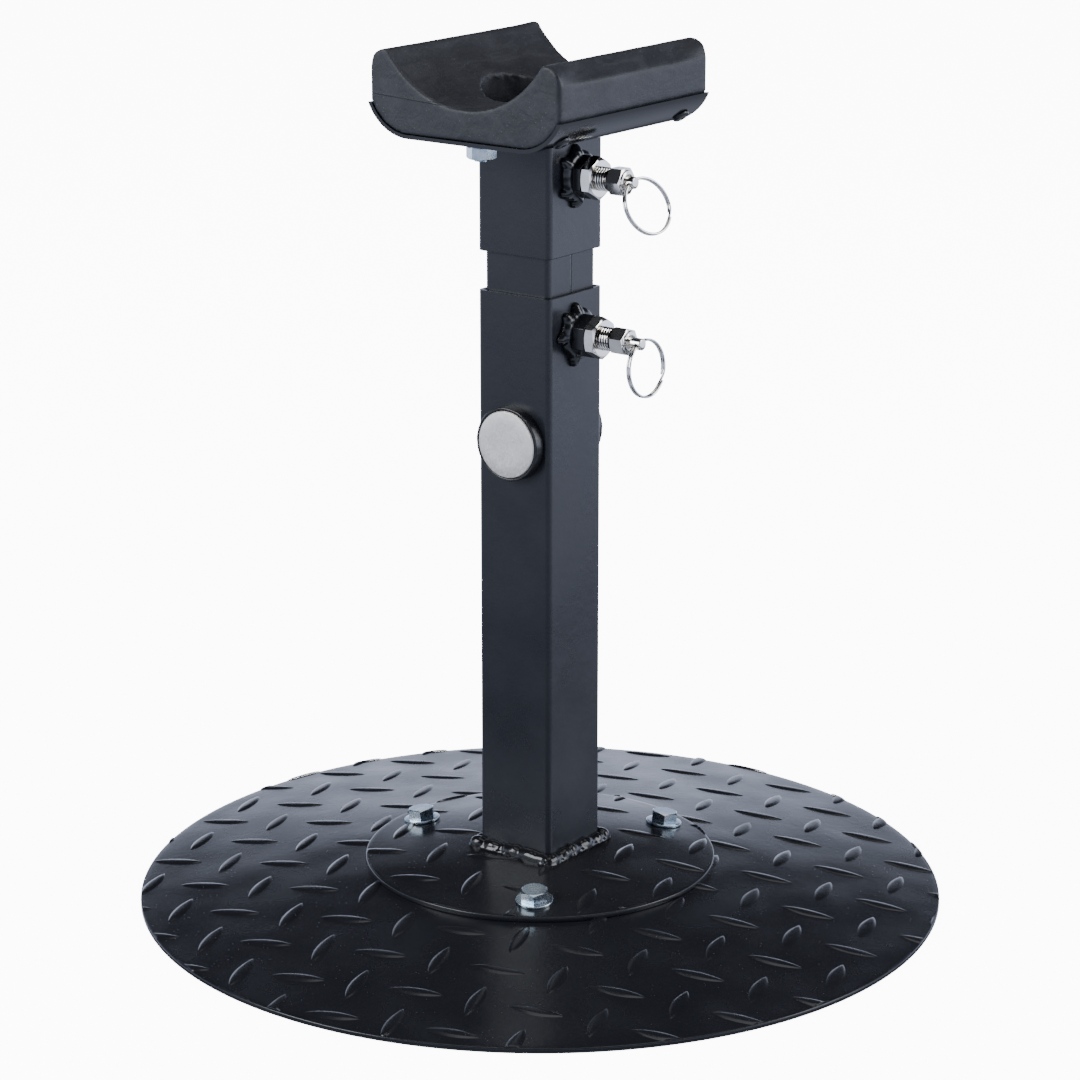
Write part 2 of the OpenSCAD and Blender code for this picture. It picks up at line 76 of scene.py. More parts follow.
def dome_height(rise, radius):
    """Height of the pressed surface that lies `rise` above the plate's underside."""
    if radius < (CROWN_SPHERE + rise) * math.sin(SLOPE):
        return CROWN_CENTRE + math.sqrt((CROWN_SPHERE + rise) ** 2 - radius ** 2)
    return (FOOT_RADIUS - radius) * math.tan(SLOPE) + rise / math.cos(SLOPE)


def put(tree, kind, inputs=None, **settings):
    """Adds a node: settings are its options, inputs are values or sockets to link."""
    made = tree.nodes.new(kind)
    for key, value in settings.items():
        setattr(made, key, value)
    for key, value in (inputs or {}).items():
        if isinstance(value, bpy.types.NodeSocket):
            tree.links.new(value, made.inputs[key])
        else:
            made.inputs[key].default_value = value
    return made


def calc(tree, operation, first, second=0.0, third=0.0):
    """One step of arithmetic in a node tree."""
    inputs = {0: first, 1: second, 2: third}
    return put(tree, "ShaderNodeMath", inputs, operation=operation).outputs[0]


def new_finish(name, **constants):
    """A material, its shader and the piece's own coordinates."""
    material = bpy.data.materials.new(name)
    material.use_nodes = True
    tree = material.node_tree
    shader = tree.nodes["Principled BSDF"]
    for key, value in constants.items():
        shader.inputs[key.replace("_", " ")].default_value = value
    place = put(tree, "ShaderNodeTexCoord").outputs["Object"]
    return material, tree, shader, place


def cloudy(tree, place, size, detail=2.0, roughness=0.5, distortion=0.0):
    """Noise whose blotches are about `size` metres across."""
    return put(tree, "ShaderNodeTexNoise", {
        "Vector": place, "Scale": 1.0 / size, "Detail": detail,
        "Roughness": roughness, "Distortion": distortion,
    }).outputs["Fac"]


def spots(tree, place, size, radius):
    """Scattered specks: 1 at the middle of each, 0 outside its radius."""
    cells = put(tree, "ShaderNodeTexVoronoi", {"Vector": place, "Scale": 1.0 / size})
    return ramp(tree, cells.outputs["Distance"], radius, radius * 0.5)


def ramp(tree, value, low, high, to_low=0.0, to_high=1.0):
    """Maps low..high to to_low..to_high and holds it there outside."""
    return put(tree, "ShaderNodeMapRange", {
        "Value": value, "From Min": low, "From Max": high, "To Min": to_low, "To Max": to_high,
    }, interpolation_type="SMOOTHSTEP").outputs["Result"]


def tint(tree, share, dark, light):
    """Colour between dark and light."""
    return put(tree, "ShaderNodeMix", {0: share, 6: (*dark, 1), 7: (*light, 1)},
               data_type="RGBA").outputs[2]


def bumps(tree, shader, *layers):
    """Stacks bump layers, each (height socket, strength, distance in metres)."""
    last = None
    for height, strength, distance in layers:
        inputs = {"Height": height, "Strength": strength, "Distance": distance}
        if last is not None:
            inputs["Normal"] = last
        last = put(tree, "ShaderNodeBump", inputs).outputs["Normal"]
    tree.links.new(last, shader.inputs["Normal"])


def powder_coat(name, colour, roughness, dust=0.5, peel=0.5, ripple=0.0, level=0.5):
    """Baked powder coat: orange peel, soft patches of gloss and a little settled dust."""
    material, tree, shader, place = new_finish(name, Specular_IOR_Level=level)
    patches = cloudy(tree, place, 0.035, 3.0)
    specks = spots(tree, place, 0.0026, 0.10)
    sparse = ramp(tree, cloudy(tree, place, 0.011, 1.0), 0.5, 0.62)
    dusty = calc(tree, "MULTIPLY", calc(tree, "MULTIPLY", specks, sparse), dust)
    film = calc(tree, "MULTIPLY", patches, 0.05)
    shade = calc(tree, "ADD", film, dusty)
    tree.links.new(tint(tree, shade, colour, [min(1, c * 1.6 + 0.07) for c in colour]),
                   shader.inputs["Base Color"])
    fine = cloudy(tree, place, 0.004, 2.0)
    gloss = calc(tree, "ADD", ramp(tree, patches, 0.3, 0.7, roughness - 0.045, roughness + 0.045),
                 calc(tree, "MULTIPLY", dusty, 0.3))
    tree.links.new(gloss, shader.inputs["Roughness"])
    layers = [(cloudy(tree, place, 0.0009, 1.0), peel * 0.35, 0.00006), (fine, peel * 0.3, 0.0002)]
    if ripple:
        layers.insert(0, (cloudy(tree, place, 0.05, 1.0, 0.4), ripple, 0.0035))
    bumps(tree, shader, *layers)
    return material


def new_piece(name, material, builder=None):
    """An object with its material and, if given, the builder's mesh."""
    mesh = bpy.data.meshes.new(name)
    if builder:
        builder.to_mesh(mesh)
        builder.free()
    mesh.materials.append(material)
    piece = bpy.data.objects.new(name, mesh)
    bpy.context.scene.collection.objects.link(piece)
    return piece


def piece_from(builder, name, material, crease=32):
    """Makes the built mesh a piece, with smooth shading up to the crease angle."""
    bmesh.ops.remove_doubles(builder, verts=builder.verts, dist=1e-7)
    bmesh.ops.recalc_face_normals(builder, faces=builder.faces)
    piece = new_piece(name, material, builder)
    piece.data.shade_smooth()
    piece.data.set_sharp_from_angle(angle=math.radians(crease))
    return piece


def ring_of(builder, sides, place, spot_at):
    """A ring of vertices round Z; spot_at(turn) gives the (radius, height) of each."""
    ring = []
    for step in range(sides):
        turn = 2 * math.pi * step / sides
        wide, tall = spot_at(turn)
        spot = Vector((wide * math.cos(turn), wide * math.sin(turn), tall))
        ring.append(builder.verts.new(place @ spot))
    return ring


def skin(builder, rings):
    """Faces between neighbouring rings; a ring of one vertex closes to a point."""
    for one, two in zip(rings, rings[1:]):
        sides = max(len(one), len(two))
        for step in range(sides):
            after = (step + 1) % sides
            if len(one) == 1:
                builder.faces.new((one[0], two[step], two[after]))
            elif len(two) == 1:
                builder.faces.new((one[step], two[0], one[after]))
            else:
                builder.faces.new((one[step], two[step], two[after], one[after]))


def turned(builder, outline, sides=96, place=Matrix.Identity(4), radius_at=None):
    """Turns an outline of (radius, height) points about Z, then puts it in place."""
    rings = []
    for radius, height in outline:
        if radius < 1e-7:
            rings.append([builder.verts.new(place @ Vector((0, 0, height)))])
        else:
            rings.append(ring_of(builder, sides, place, lambda turn: (
                radius_at(radius, height, turn) if radius_at else (radius, height))))
    skin(builder, rings)


def corner(middle, radius, start, stop, steps=4):
    """Points of a rounded corner of an outline, angles in degrees."""
    return [(middle[0] + radius * math.cos(math.radians(start + (stop - start) * i / steps)),
             middle[1] + radius * math.sin(math.radians(start + (stop - start) * i / steps)))
            for i in range(steps + 1)]


def settle(piece):
    """Turns a piece's live modifiers into plain mesh."""
    bpy.context.view_layer.update()
    graph = bpy.context.evaluated_depsgraph_get()
    mesh = bpy.data.meshes.new_from_object(
        piece.evaluated_get(graph), preserve_all_data_layers=True, depsgraph=graph)
    before = piece.data
    piece.modifiers.clear()
    piece.data = mesh
    mesh.name = piece.name
    bpy.data.meshes.remove(before)
    return piece


def tread_lug(material):
    """One raised lug of tread plate: a lens in plan, rounded over its back."""
    along, across = 12, 6
    builder = bmesh.new()
    rows = []
    for i in range(along + 1):
        far = 2 * i / along - 1
        row = []
        for k in range(across + 1):
            side = 2 * k / across - 1
            width = LUG_WIDTH / 2 * (1 - far ** 2) ** 0.9
            crown = (1 - abs(far) ** 3.0) ** 0.7 * (1 - abs(side) ** 3.0) ** 0.9
            spot = (LUG_LENGTH / 2 * far, width * side, LUG_HEIGHT * crown - LUG_SINK)
            row.append(builder.verts.new(spot))
        rows.append(row)
    for one, two in zip(rows, rows[1:]):
        for k in range(across):
            builder.faces.new((one[k], two[k], two[k + 1], one[k + 1]))
        builder.faces.new((one[0], one[-1], two[-1], two[0]))
    return piece_from(builder, "tread_lug", material, 60)


def new_tree(name, *sizes):
    """A Geometry Nodes tree with a mesh in, a mesh out and named inputs."""
    tree = bpy.data.node_groups.new(name, "GeometryNodeTree")
    tree.interface.new_socket("Geometry", in_out="INPUT", socket_type="NodeSocketGeometry")
    tree.interface.new_socket("Geometry", in_out="OUTPUT", socket_type="NodeSocketGeometry")
    for label, kind in sizes:
        tree.interface.new_socket(label, in_out="INPUT", socket_type="NodeSocket" + kind)
    return tree, put(tree, "NodeGroupInput").outputs


def run_tree(piece, tree, **values):
    """Runs a tree on a piece with its named inputs set, and keeps the plain mesh."""
    modifier = piece.modifiers.new(tree.name, "NODES")
    modifier.node_group = tree
    sockets = {item.name: item.identifier for item in tree.interface.items_tree
               if item.item_type == "SOCKET" and item.in_out == "INPUT"}
    for label, value in values.items():
        modifier[sockets[label.replace("_", " ")]] = value
    return settle(piece)


def painted_out(tree, given, geometry):
    """Ends a tree: plain mesh from the instances, in its material."""
    real = put(tree, "GeometryNodeRealizeInstances", {0: geometry})
    painted = put(tree, "GeometryNodeSetMaterial", {"Geometry": real.outputs[0],
                                                    "Material": given["Material"]})
    put(tree, "NodeGroupOutput", {"Geometry": painted.outputs[0]})


def tread_tree():
    """Lays lugs out in a chequered square lattice, drapes them on the dome and trims the rim."""
    tree, given = new_tree(
        "tread_lugs", ("Lug", "Object"), ("Material", "Material"),
        *((label, "Float") for label in (
            "Pitch", "Turn", "Start X", "Start Y", "Rim Radius", "Foot Radius", "Slope", "Sphere",
            "Sphere Centre", "Rise")))
    count = 19
    width = calc(tree, "MULTIPLY", given["Pitch"], count - 1.0)
    lattice = put(tree, "GeometryNodeMeshGrid", {
        "Size X": width, "Size Y": width, "Vertices X": count, "Vertices Y": count})
    turn = put(tree, "ShaderNodeCombineXYZ", {"Z": given["Turn"]})
    start = put(tree, "ShaderNodeCombineXYZ", {"X": given["Start X"], "Y": given["Start Y"]})
    laid = put(tree, "GeometryNodeTransform", {
        "Geometry": lattice.outputs["Mesh"], "Translation": start.outputs[0],
        "Rotation": turn.outputs[0]})
    index = put(tree, "GeometryNodeInputIndex").outputs[0]
    row = calc(tree, "FLOOR", calc(tree, "DIVIDE", index, float(count)))
    column = calc(tree, "MODULO", index, float(count))
    odd = calc(tree, "MODULO", calc(tree, "ADD", row, column), 2.0)
    spin = calc(tree, "ADD", given["Turn"], calc(tree, "MULTIPLY", odd, math.pi / 2))
    position = put(tree, "GeometryNodeInputPosition").outputs[0]
    there = put(tree, "ShaderNodeSeparateXYZ", {0: position}).outputs
    reach = calc(tree, "SQRT", calc(tree, "ADD", calc(tree, "MULTIPLY", there[0], there[0]),
                                    calc(tree, "MULTIPLY", there[1], there[1])))
    near = calc(tree, "LESS_THAN", reach, calc(tree, "ADD", given["Rim Radius"], LUG_LENGTH * 0.42))
    lug = put(tree, "GeometryNodeObjectInfo", {"Object": given["Lug"]})
    placed = put(tree, "GeometryNodeInstanceOnPoints", {
        "Points": laid.outputs[0], "Selection": near, "Instance": lug.outputs["Geometry"],
        "Rotation": put(tree, "ShaderNodeCombineXYZ", {"Z": spin}).outputs[0]})
    real = put(tree, "GeometryNodeRealizeInstances", {0: placed.outputs[0]})
    held = calc(tree, "MINIMUM", reach, given["Rim Radius"])
    trim = calc(tree, "DIVIDE", held, calc(tree, "MAXIMUM", reach, 1e-6))
    sphere = calc(tree, "ADD", given["Sphere"], given["Rise"])
    square = calc(tree, "SUBTRACT", calc(tree, "MULTIPLY", sphere, sphere),
                  calc(tree, "MULTIPLY", held, held))
    crown = calc(tree, "ADD", given["Sphere Centre"], calc(tree, "SQRT", square))
    cone = calc(tree, "ADD",
                calc(tree, "MULTIPLY", calc(tree, "SUBTRACT", given["Foot Radius"], held),
                     calc(tree, "TANGENT", given["Slope"])),
                calc(tree, "DIVIDE", given["Rise"], calc(tree, "COSINE", given["Slope"])))
    crown_edge = calc(tree, "MULTIPLY", sphere, calc(tree, "SINE", given["Slope"]))
    on_crown = calc(tree, "LESS_THAN", held, crown_edge)
    rounding = calc(tree, "MULTIPLY", on_crown, calc(tree, "SUBTRACT", crown, cone))
    dome = calc(tree, "ADD", cone, rounding)
    draped = put(tree, "ShaderNodeCombineXYZ", {
        "X": calc(tree, "MULTIPLY", there[0], trim), "Y": calc(tree, "MULTIPLY", there[1], trim),
        "Z": calc(tree, "ADD", there[2], dome)})
    moved = put(tree, "GeometryNodeSetPosition", {"Geometry": real.outputs[0],
                                                  "Position": draped.outputs[0]})
    painted = put(tree, "GeometryNodeSetMaterial", {"Geometry": moved.outputs[0],
                                                    "Material": given["Material"]})
    joined = put(tree, "GeometryNodeJoinGeometry", {0: painted.outputs[0]})
    tree.links.new(given["Geometry"], joined.inputs[0])
    put(tree, "NodeGroupOutput", {"Geometry": joined.outputs[0]})
    return tree


def pressed_plate(name, radius, rise, foot, material):
    """A round plate of the pressed dome's shape, with soft sheared edges."""
    edge, wave, swell = 0.0007, 0.034, 0.00022
    top, steps = rise + SHEET, 64
    outline = [(0, dome_height(rise, 0))]
    outline += [(foot * i / steps, dome_height(rise, foot * i / steps))
                for i in range(1, steps + 1)]
    low, high = dome_height(rise, radius) if foot == radius else 0, dome_height(top, radius)
    outline += corner((radius - edge, low + edge), edge, -90, 0, 3)
    outline += corner((radius - edge, high - edge), edge, 0, 83, 4)
    outline += [(radius * i / steps, dome_height(top, radius * i / steps))
                for i in range(steps - 1, -1, -1)]

    def ripple(wide, tall, turn):
        """Leaves the upper face faintly uneven, as the press does."""
        if tall < dome_height(rise, min(wide, FOOT_RADIUS)) + SHEET / 2 or wide > radius - 2 * edge:
            return wide, tall
        there = Vector((wide * math.cos(turn), wide * math.sin(turn), rise * 9)) / wave
        return wide, tall + swell * noise.noise(there) * min(1, (radius - wide) / 0.01)

    builder = bmesh.new()
    turned(builder, outline, 256, radius_at=ripple)
    return piece_from(builder, name, material)


base_coat = powder_coat("base_tread_plate", (0.0080, 0.0088, 0.0125), 0.25,
                        dust=0.9, peel=0.6, ripple=0.18)
lug = tread_lug(base_coat)
tread = tread_tree()
base_plate = pressed_plate("base_plate_tread", BASE_RADIUS, 0.0, FOOT_RADIUS, base_coat)
tread_rule = dict(Lug=lug, Pitch=TREAD_PITCH, Turn=TREAD_TURN, Foot_Radius=FOOT_RADIUS, Slope=SLOPE,
                  Sphere=CROWN_SPHERE, Sphere_Centre=CROWN_CENTRE)
run_tree(base_plate, tread, Material=base_coat, Start_X=-0.0102, Start_Y=0.0162,
         Rim_Radius=BASE_RADIUS - 0.0004, Rise=SHEET, **tread_rule)
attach(base_plate, "base")
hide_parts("base_plate")

# ---------------------------------------------------------------------------------------------
# Flange plate
# A smaller disc of the same tread plate, bolted on the crown and welded to the post. It is cut
# from another part of the sheet, so its lugs don't line up with the base's.
FLANGE_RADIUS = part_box("flange_plate")[1].x
flange_coat = powder_coat("flange_tread_plate", (0.0080, 0.0088, 0.0120), 0.22,
                          dust=0.7, peel=0.5, ripple=0.1)
flange_plate = pressed_plate("flange_plate_tread", FLANGE_RADIUS, SHEET, FLANGE_RADIUS, flange_coat)
run_tree(flange_plate, tread, Material=flange_coat, Start_X=0.0150, Start_Y=0.0045,
         Rim_Radius=FLANGE_RADIUS - 0.0006, Rise=2 * SHEET, **tread_rule)
bpy.data.objects.remove(lug)
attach(flange_plate, "base")
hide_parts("flange_plate")

# ---------------------------------------------------------------------------------------------
# Base bolts, washers and nuts
# Three M8 hexagon bolts with flat washers above and below and plain nuts underneath. Bright zinc
# with a bluish passivation, drawn stock with turned ends and rolled threads.
BOLT_SIZE = 0.008
BOLT_FLATS = 0.013
BOLT_HEAD = 0.66 * BOLT_SIZE
BOLT_LENGTH = 0.018
THREAD_PITCH = 0.00125
THREAD_BORE = 0.00405
WASHER = 0.0016
WASHER_RADIUS = 0.0095
BOLT_COUNT = 3
BOLT_CIRCLE = FLANGE_RADIUS - 0.01675
BOLT_TURN = math.radians(-55.5)
BOLT_TILT = min(SLOPE, math.asin(BOLT_CIRCLE / (CROWN_SPHERE + 2 * SHEET)))
UNDER_FACE = -2 * SHEET - 0.0001


def bright_metal(name, colour, roughness, stain, grain=0.0004, wear=0.35, streak=(1, 1, 1)):
    """Plated steel: fine grain, faint stains and small handling marks."""
    material, tree, shader, place = new_finish(name, Metallic=1.0)
    spread = put(tree, "ShaderNodeMapping", {"Vector": place, "Scale": streak}).outputs[0]
    clouds = cloudy(tree, place, 0.006, 3.0)
    tree.links.new(tint(tree, ramp(tree, clouds, 0.35, 0.7), colour, stain),
                   shader.inputs["Base Color"])
    marks = cloudy(tree, spread, grain * 2.5, 4.0, 0.6)
    gloss = ramp(tree, marks, 0.3, 0.75, roughness * 0.8, roughness * 1.3)
    tree.links.new(gloss, shader.inputs["Roughness"])
    bumps(tree, shader, (cloudy(tree, spread, grain, 2.0), wear * 0.25, 0.00005),
          (cloudy(tree, place, 0.0025, 2.0), wear * 0.25, 0.00018))
    return material


def six_sided(builder, flats, low, high, bore=0.0, both=False, bevel=30, place=Matrix.Identity(4)):
    """A hexagon with its corners turned off at the top, or at both ends."""
    sides, rim = 120, flats * 0.475
    rings = []
    for part, height in (("bore", low), ("rim", low), ("flat", low),
                         ("flat", high), ("rim", high), ("bore", high)):
        def spot_at(turn):
            if part == "bore":
                return bore, height
            across = flats / 2 / math.cos((turn % (math.pi / 3)) - math.pi / 6)
            if part == "rim":
                return (rim if both or height == high else across), height
            cut = max(0.0, across - rim) * math.tan(math.radians(bevel))
            if height == high:
                return across, height - cut
            return across, height + (cut if both else 0.0)

        if part == "bore" and bore == 0:
            rings.append([builder.verts.new(place @ Vector((0, 0, height)))])
        else:
            rings.append(ring_of(builder, sides, place, spot_at))
    skin(builder, rings + rings[:1] if bore else rings)


def threaded(builder, size, pitch, low, high, place=Matrix.Identity(4), bore=0.0):
    """A rolled thread along Z, fading out at its chamfered ends."""
    sides, depth, fade = 48, pitch * 0.62, 0.0006
    rows = max(8, int((high - low) / pitch * 8))
    rings = []
    for row in range(rows + 1):
        height = low + (high - low) * row / rows

        def spot_at(turn):
            wave = (height / pitch - turn / (2 * math.pi)) % 1.0
            tooth = min(1, max(0, (1 - abs(2 * wave - 1) - 0.12) / 0.76))
            ends = min(1, min(height - low, high - height) / fade)
            return size / 2 - depth * max(1 - tooth, 1.05 * (1 - ends)), height

        rings.append(ring_of(builder, sides, place, spot_at))
    if bore:
        mouths = [ring_of(builder, sides, place, lambda turn: (bore, height))
                  for height in (low, high)]
        rings = [mouths[0]] + rings + [mouths[1], mouths[0]]
    else:
        builder.faces.new(rings[0])
        builder.faces.new(rings[-1])
    skin(builder, rings)


def circle_tree():
    """Sets copies of a part on a circle, each square to the plate it stands on."""
    tree, given = new_tree("bolt_circle", ("Part", "Object"), ("Material", "Material"),
                           ("Count", "Int"), ("Radius", "Float"), ("First", "Float"),
                           ("Tilt", "Float"), ("Height", "Float"))
    index = put(tree, "GeometryNodeInputIndex").outputs[0]
    share = calc(tree, "DIVIDE", calc(tree, "MULTIPLY", index, 2 * math.pi), given["Count"])
    turn = calc(tree, "ADD", given["First"], share)
    there = put(tree, "ShaderNodeCombineXYZ", {
        "X": calc(tree, "MULTIPLY", given["Radius"], calc(tree, "COSINE", turn)),
        "Y": calc(tree, "MULTIPLY", given["Radius"], calc(tree, "SINE", turn)),
        "Z": given["Height"]})
    points = put(tree, "GeometryNodePoints", {"Count": given["Count"],
                                              "Position": there.outputs[0]})
    part = put(tree, "GeometryNodeObjectInfo", {"Object": given["Part"]})
    placed = put(tree, "GeometryNodeInstanceOnPoints", {
        "Points": points.outputs[0], "Instance": part.outputs["Geometry"],
        "Rotation": put(tree, "ShaderNodeCombineXYZ", {"Y": given["Tilt"], "Z": turn}).outputs[0]})
    painted_out(tree, given, placed.outputs[0])
    return tree


def on_circle(part, name, tree, material, **sizes):
    """Repeats a part with a placing tree and leaves one piece in its place."""
    piece = new_piece(name, material)
    run_tree(piece, tree, Part=part, Material=material, **sizes)
    bpy.data.objects.remove(part)
    return piece


def washer(builder, low, place=Matrix.Identity(4)):
    """A punched flat washer with rounded edges."""
    soft, bore = 0.0003, 0.0042
    outline = [(bore, low + soft)] + corner((WASHER_RADIUS - soft, low + soft), soft, -90, 0, 3)
    outline += corner((WASHER_RADIUS - soft, low + WASHER - soft), soft, 0, 90, 3)
    outline += corner((bore + soft, low + WASHER - soft), soft, 90, 180, 3)
    outline = [(bore + soft, low)] + outline[1:] + [(bore, low + soft), (bore + soft, low)]
    turned(builder, outline, 72, place)


zinc = bright_metal("zinc_plating", (0.42, 0.52, 0.62), 0.26, (0.62, 0.68, 0.72), wear=0.5)
bolt_tree = circle_tree()
bolt_places = dict(Count=BOLT_COUNT, Radius=BOLT_CIRCLE, First=BOLT_TURN, Tilt=BOLT_TILT,
                   Height=dome_height(2 * SHEET, BOLT_CIRCLE))
builder = bmesh.new()
six_sided(builder, BOLT_FLATS, WASHER + 0.0001, WASHER + BOLT_HEAD)
threaded(builder, BOLT_SIZE, THREAD_PITCH, WASHER - BOLT_LENGTH, WASHER + 0.0002)
base_bolts = on_circle(piece_from(builder, "bolt", zinc, 24), "hex_bolts", bolt_tree, zinc,
                       **bolt_places)
builder = bmesh.new()
washer(builder, 0.0)
base_washers = on_circle(piece_from(builder, "washer", zinc), "upper_washers", bolt_tree, zinc,
                         **bolt_places)
builder = bmesh.new()
washer(builder, UNDER_FACE - WASHER)
lower_washers = on_circle(piece_from(builder, "washer", zinc), "lower_washers", bolt_tree, zinc,
                          **bolt_places)
builder = bmesh.new()
NUT_TOP = UNDER_FACE - WASHER
six_sided(builder, BOLT_FLATS, NUT_TOP - 0.8 * BOLT_SIZE, NUT_TOP, bore=THREAD_BORE, both=True)
base_nuts = on_circle(piece_from(builder, "nut", zinc, 24), "hex_nuts", bolt_tree, zinc,
                      **bolt_places)
for piece, node in ((base_bolts, "base_bolts"), (base_washers, "base_washers"),
                    (lower_washers, "base_lower_washers"), (base_nuts, "base_nuts")):
    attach(piece, "base")
    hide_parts(node)

# ---------------------------------------------------------------------------------------------
# Lower tube
# 45 mm square tube with 2 mm walls, sawn square, deburred and powder coated black. The finish is
# satin over a slightly rounded corner.
TUBE_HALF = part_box("lower_tube")[1].x


def eased_copy(node, name, material, ease, crease=30, segments=3):
    """Copies a CAD solid and rounds its sharp edges, as tumbling and paint do."""
    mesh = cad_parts[node].data.copy()
    builder = bmesh.new()
    builder.from_mesh(mesh)
    bpy.data.meshes.remove(mesh)
    bmesh.ops.remove_doubles(builder, verts=builder.verts, dist=2e-6)
    bmesh.ops.dissolve_limit(builder, angle_limit=math.radians(0.4), verts=builder.verts,
                             edges=builder.edges)
    piece = new_piece(name, material, builder)
    piece.data.shade_smooth()
    soft = piece.modifiers.new("ease", "BEVEL")
    soft.width = ease
    soft.segments = segments
    soft.limit_method = "ANGLE"
    soft.angle_limit = math.radians(40)
    soft.use_clamp_overlap = True
    settle(piece)
    piece.data.set_sharp_from_angle(angle=math.radians(crease))
    level = piece.modifiers.new("level", "WEIGHTED_NORMAL")
    level.keep_sharp = True
    level.weight = 80
    return settle(piece)


tube_coat = powder_coat("tube_powder_coat", (0.0105, 0.0118, 0.0170), 0.30, dust=0.25, peel=0.7)
lower_tube = eased_copy("lower_tube", "lower_tube_coated", tube_coat, 0.0005)
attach(lower_tube, "base")
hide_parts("lower_tube")

# ---------------------------------------------------------------------------------------------
# Foot weld
# A hand-run weld bead round the foot of the post, lumpy, with a heap at the front corner where it
# starts and stops. Painted with the rest, so it is glossy black.
def melt(piece, grain, smooth):
    """Remeshes a piece in voxels of the grain's size, then smooths it."""
    remesh = piece.modifiers.new("skin", "REMESH")
    remesh.mode = "VOXEL"
    remesh.voxel_size = grain
    settle(piece)
    even = piece.modifiers.new("even", "SMOOTH")
    even.iterations = smooth
    even.factor = 0.5
    settle(piece)


def fused(blobs, name, material, grain, smooth):
    """Melts overlapping balls of (middle, radii) into one lumpy skin."""
    builder = bmesh.new()
    for middle, radii in blobs:
        size = Matrix.Diagonal((*radii, 1)) if hasattr(radii, "__len__") else Matrix.Scale(radii, 4)
        bmesh.ops.create_icosphere(builder, subdivisions=3, radius=1.0,
                                   matrix=Matrix.Translation(middle) @ size)
    piece = new_piece(name, material, builder)
    melt(piece, grain, smooth)
    piece.data.shade_smooth()
    return piece


weld_black = powder_coat("weld_black", (0.0062, 0.0068, 0.0090), 0.19, dust=0.15, peel=0.25)
BEAD = 0.0034
TOE_BEAD = 0.0017
FOOT_STEPS = 40
blobs = []
for side in range(4):
    turn = Matrix.Rotation(math.pi / 2 * side, 4, "Z")
    for step in range(FOOT_STEPS):
        along = (step + 0.5) / FOOT_STEPS * 2 - 1
        lump = noise.noise(Vector((step * 0.21, side * 7.1, 0.3)))
        fine = noise.noise(Vector((step * 0.9, side * 3.7, 5.2)))
        spot = turn @ Vector((TUBE_HALF + 0.0012 + 0.0008 * lump, along * (TUBE_HALF + 0.0015), 0))
        ground = dome_height(2 * SHEET, spot.xy.length)
        wide, tall = BEAD + 0.0009 * lump, BEAD + 0.0002 + 0.0016 * lump + 0.0005 * fine
        spot.z = ground + 0.0006 + 0.0004 * fine
        blobs.append((spot, (wide, wide, tall)))
        toe = turn @ Vector((TUBE_HALF + BEAD + 0.0008 * fine, along * (TUBE_HALF + 0.0035), 0))
        ground = dome_height(2 * SHEET, toe.xy.length)
        toe.z = ground - 0.0004
        blobs.append((toe, TOE_BEAD + 0.0005 * lump))

# Start-and-stop heap at the corner between -Y and +X
for step in range(22):
    heap = Vector((TUBE_HALF + 0.0016 + 0.0030 * noise.noise(Vector((step, 1.1, 0))),
                   -TUBE_HALF - 0.0012 + 0.0060 * noise.noise(Vector((step, 4.6, 0))), 0))
    ground = dome_height(2 * SHEET, heap.xy.length)
    heap.z = ground + 0.0006 + 0.0030 * abs(noise.noise(Vector((step, 9.2, 0))))
    blobs.append((heap, 0.0012 + 0.0011 * abs(noise.noise(Vector((step, 2.3, 7))))))
foot_weld = fused(blobs, "foot_weld_bead", weld_black, 0.0005, 5)
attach(foot_weld, "base")
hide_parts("foot_weld")

# ---------------------------------------------------------------------------------------------
# Tool magnets
# A nickel-plated disc magnet bonded in a painted steel cup on the front and on the back of the
# post, so that a rasp or nippers can hang there. The disc has a bright turned chamfer.
CUP_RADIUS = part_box("magnet_cup_front")[1].x
DISC_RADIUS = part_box("magnet_disc_front")[1].x
MAGNET_HEIGHT = (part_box("magnet_disc_front")[0].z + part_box("magnet_disc_front")[1].z) / 2
CUP_DEPTH = -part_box("magnet_cup_front")[0].y - TUBE_HALF
CUP_FLOOR = 0.001
CUP_LIP = 0.0006
DISC_FACE = -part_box("magnet_disc_front")[0].y - TUBE_HALF
DISC_CHAMFER = 0.0005
cup_coat = powder_coat("magnet_cup_paint", (0.010, 0.0105, 0.0125), 0.3, dust=0.2, peel=0.9)
plating = bright_metal("magnet_plating", (0.90, 0.86, 0.80), 0.42, (0.95, 0.92, 0.87),
                       grain=0.0003, wear=0.25)
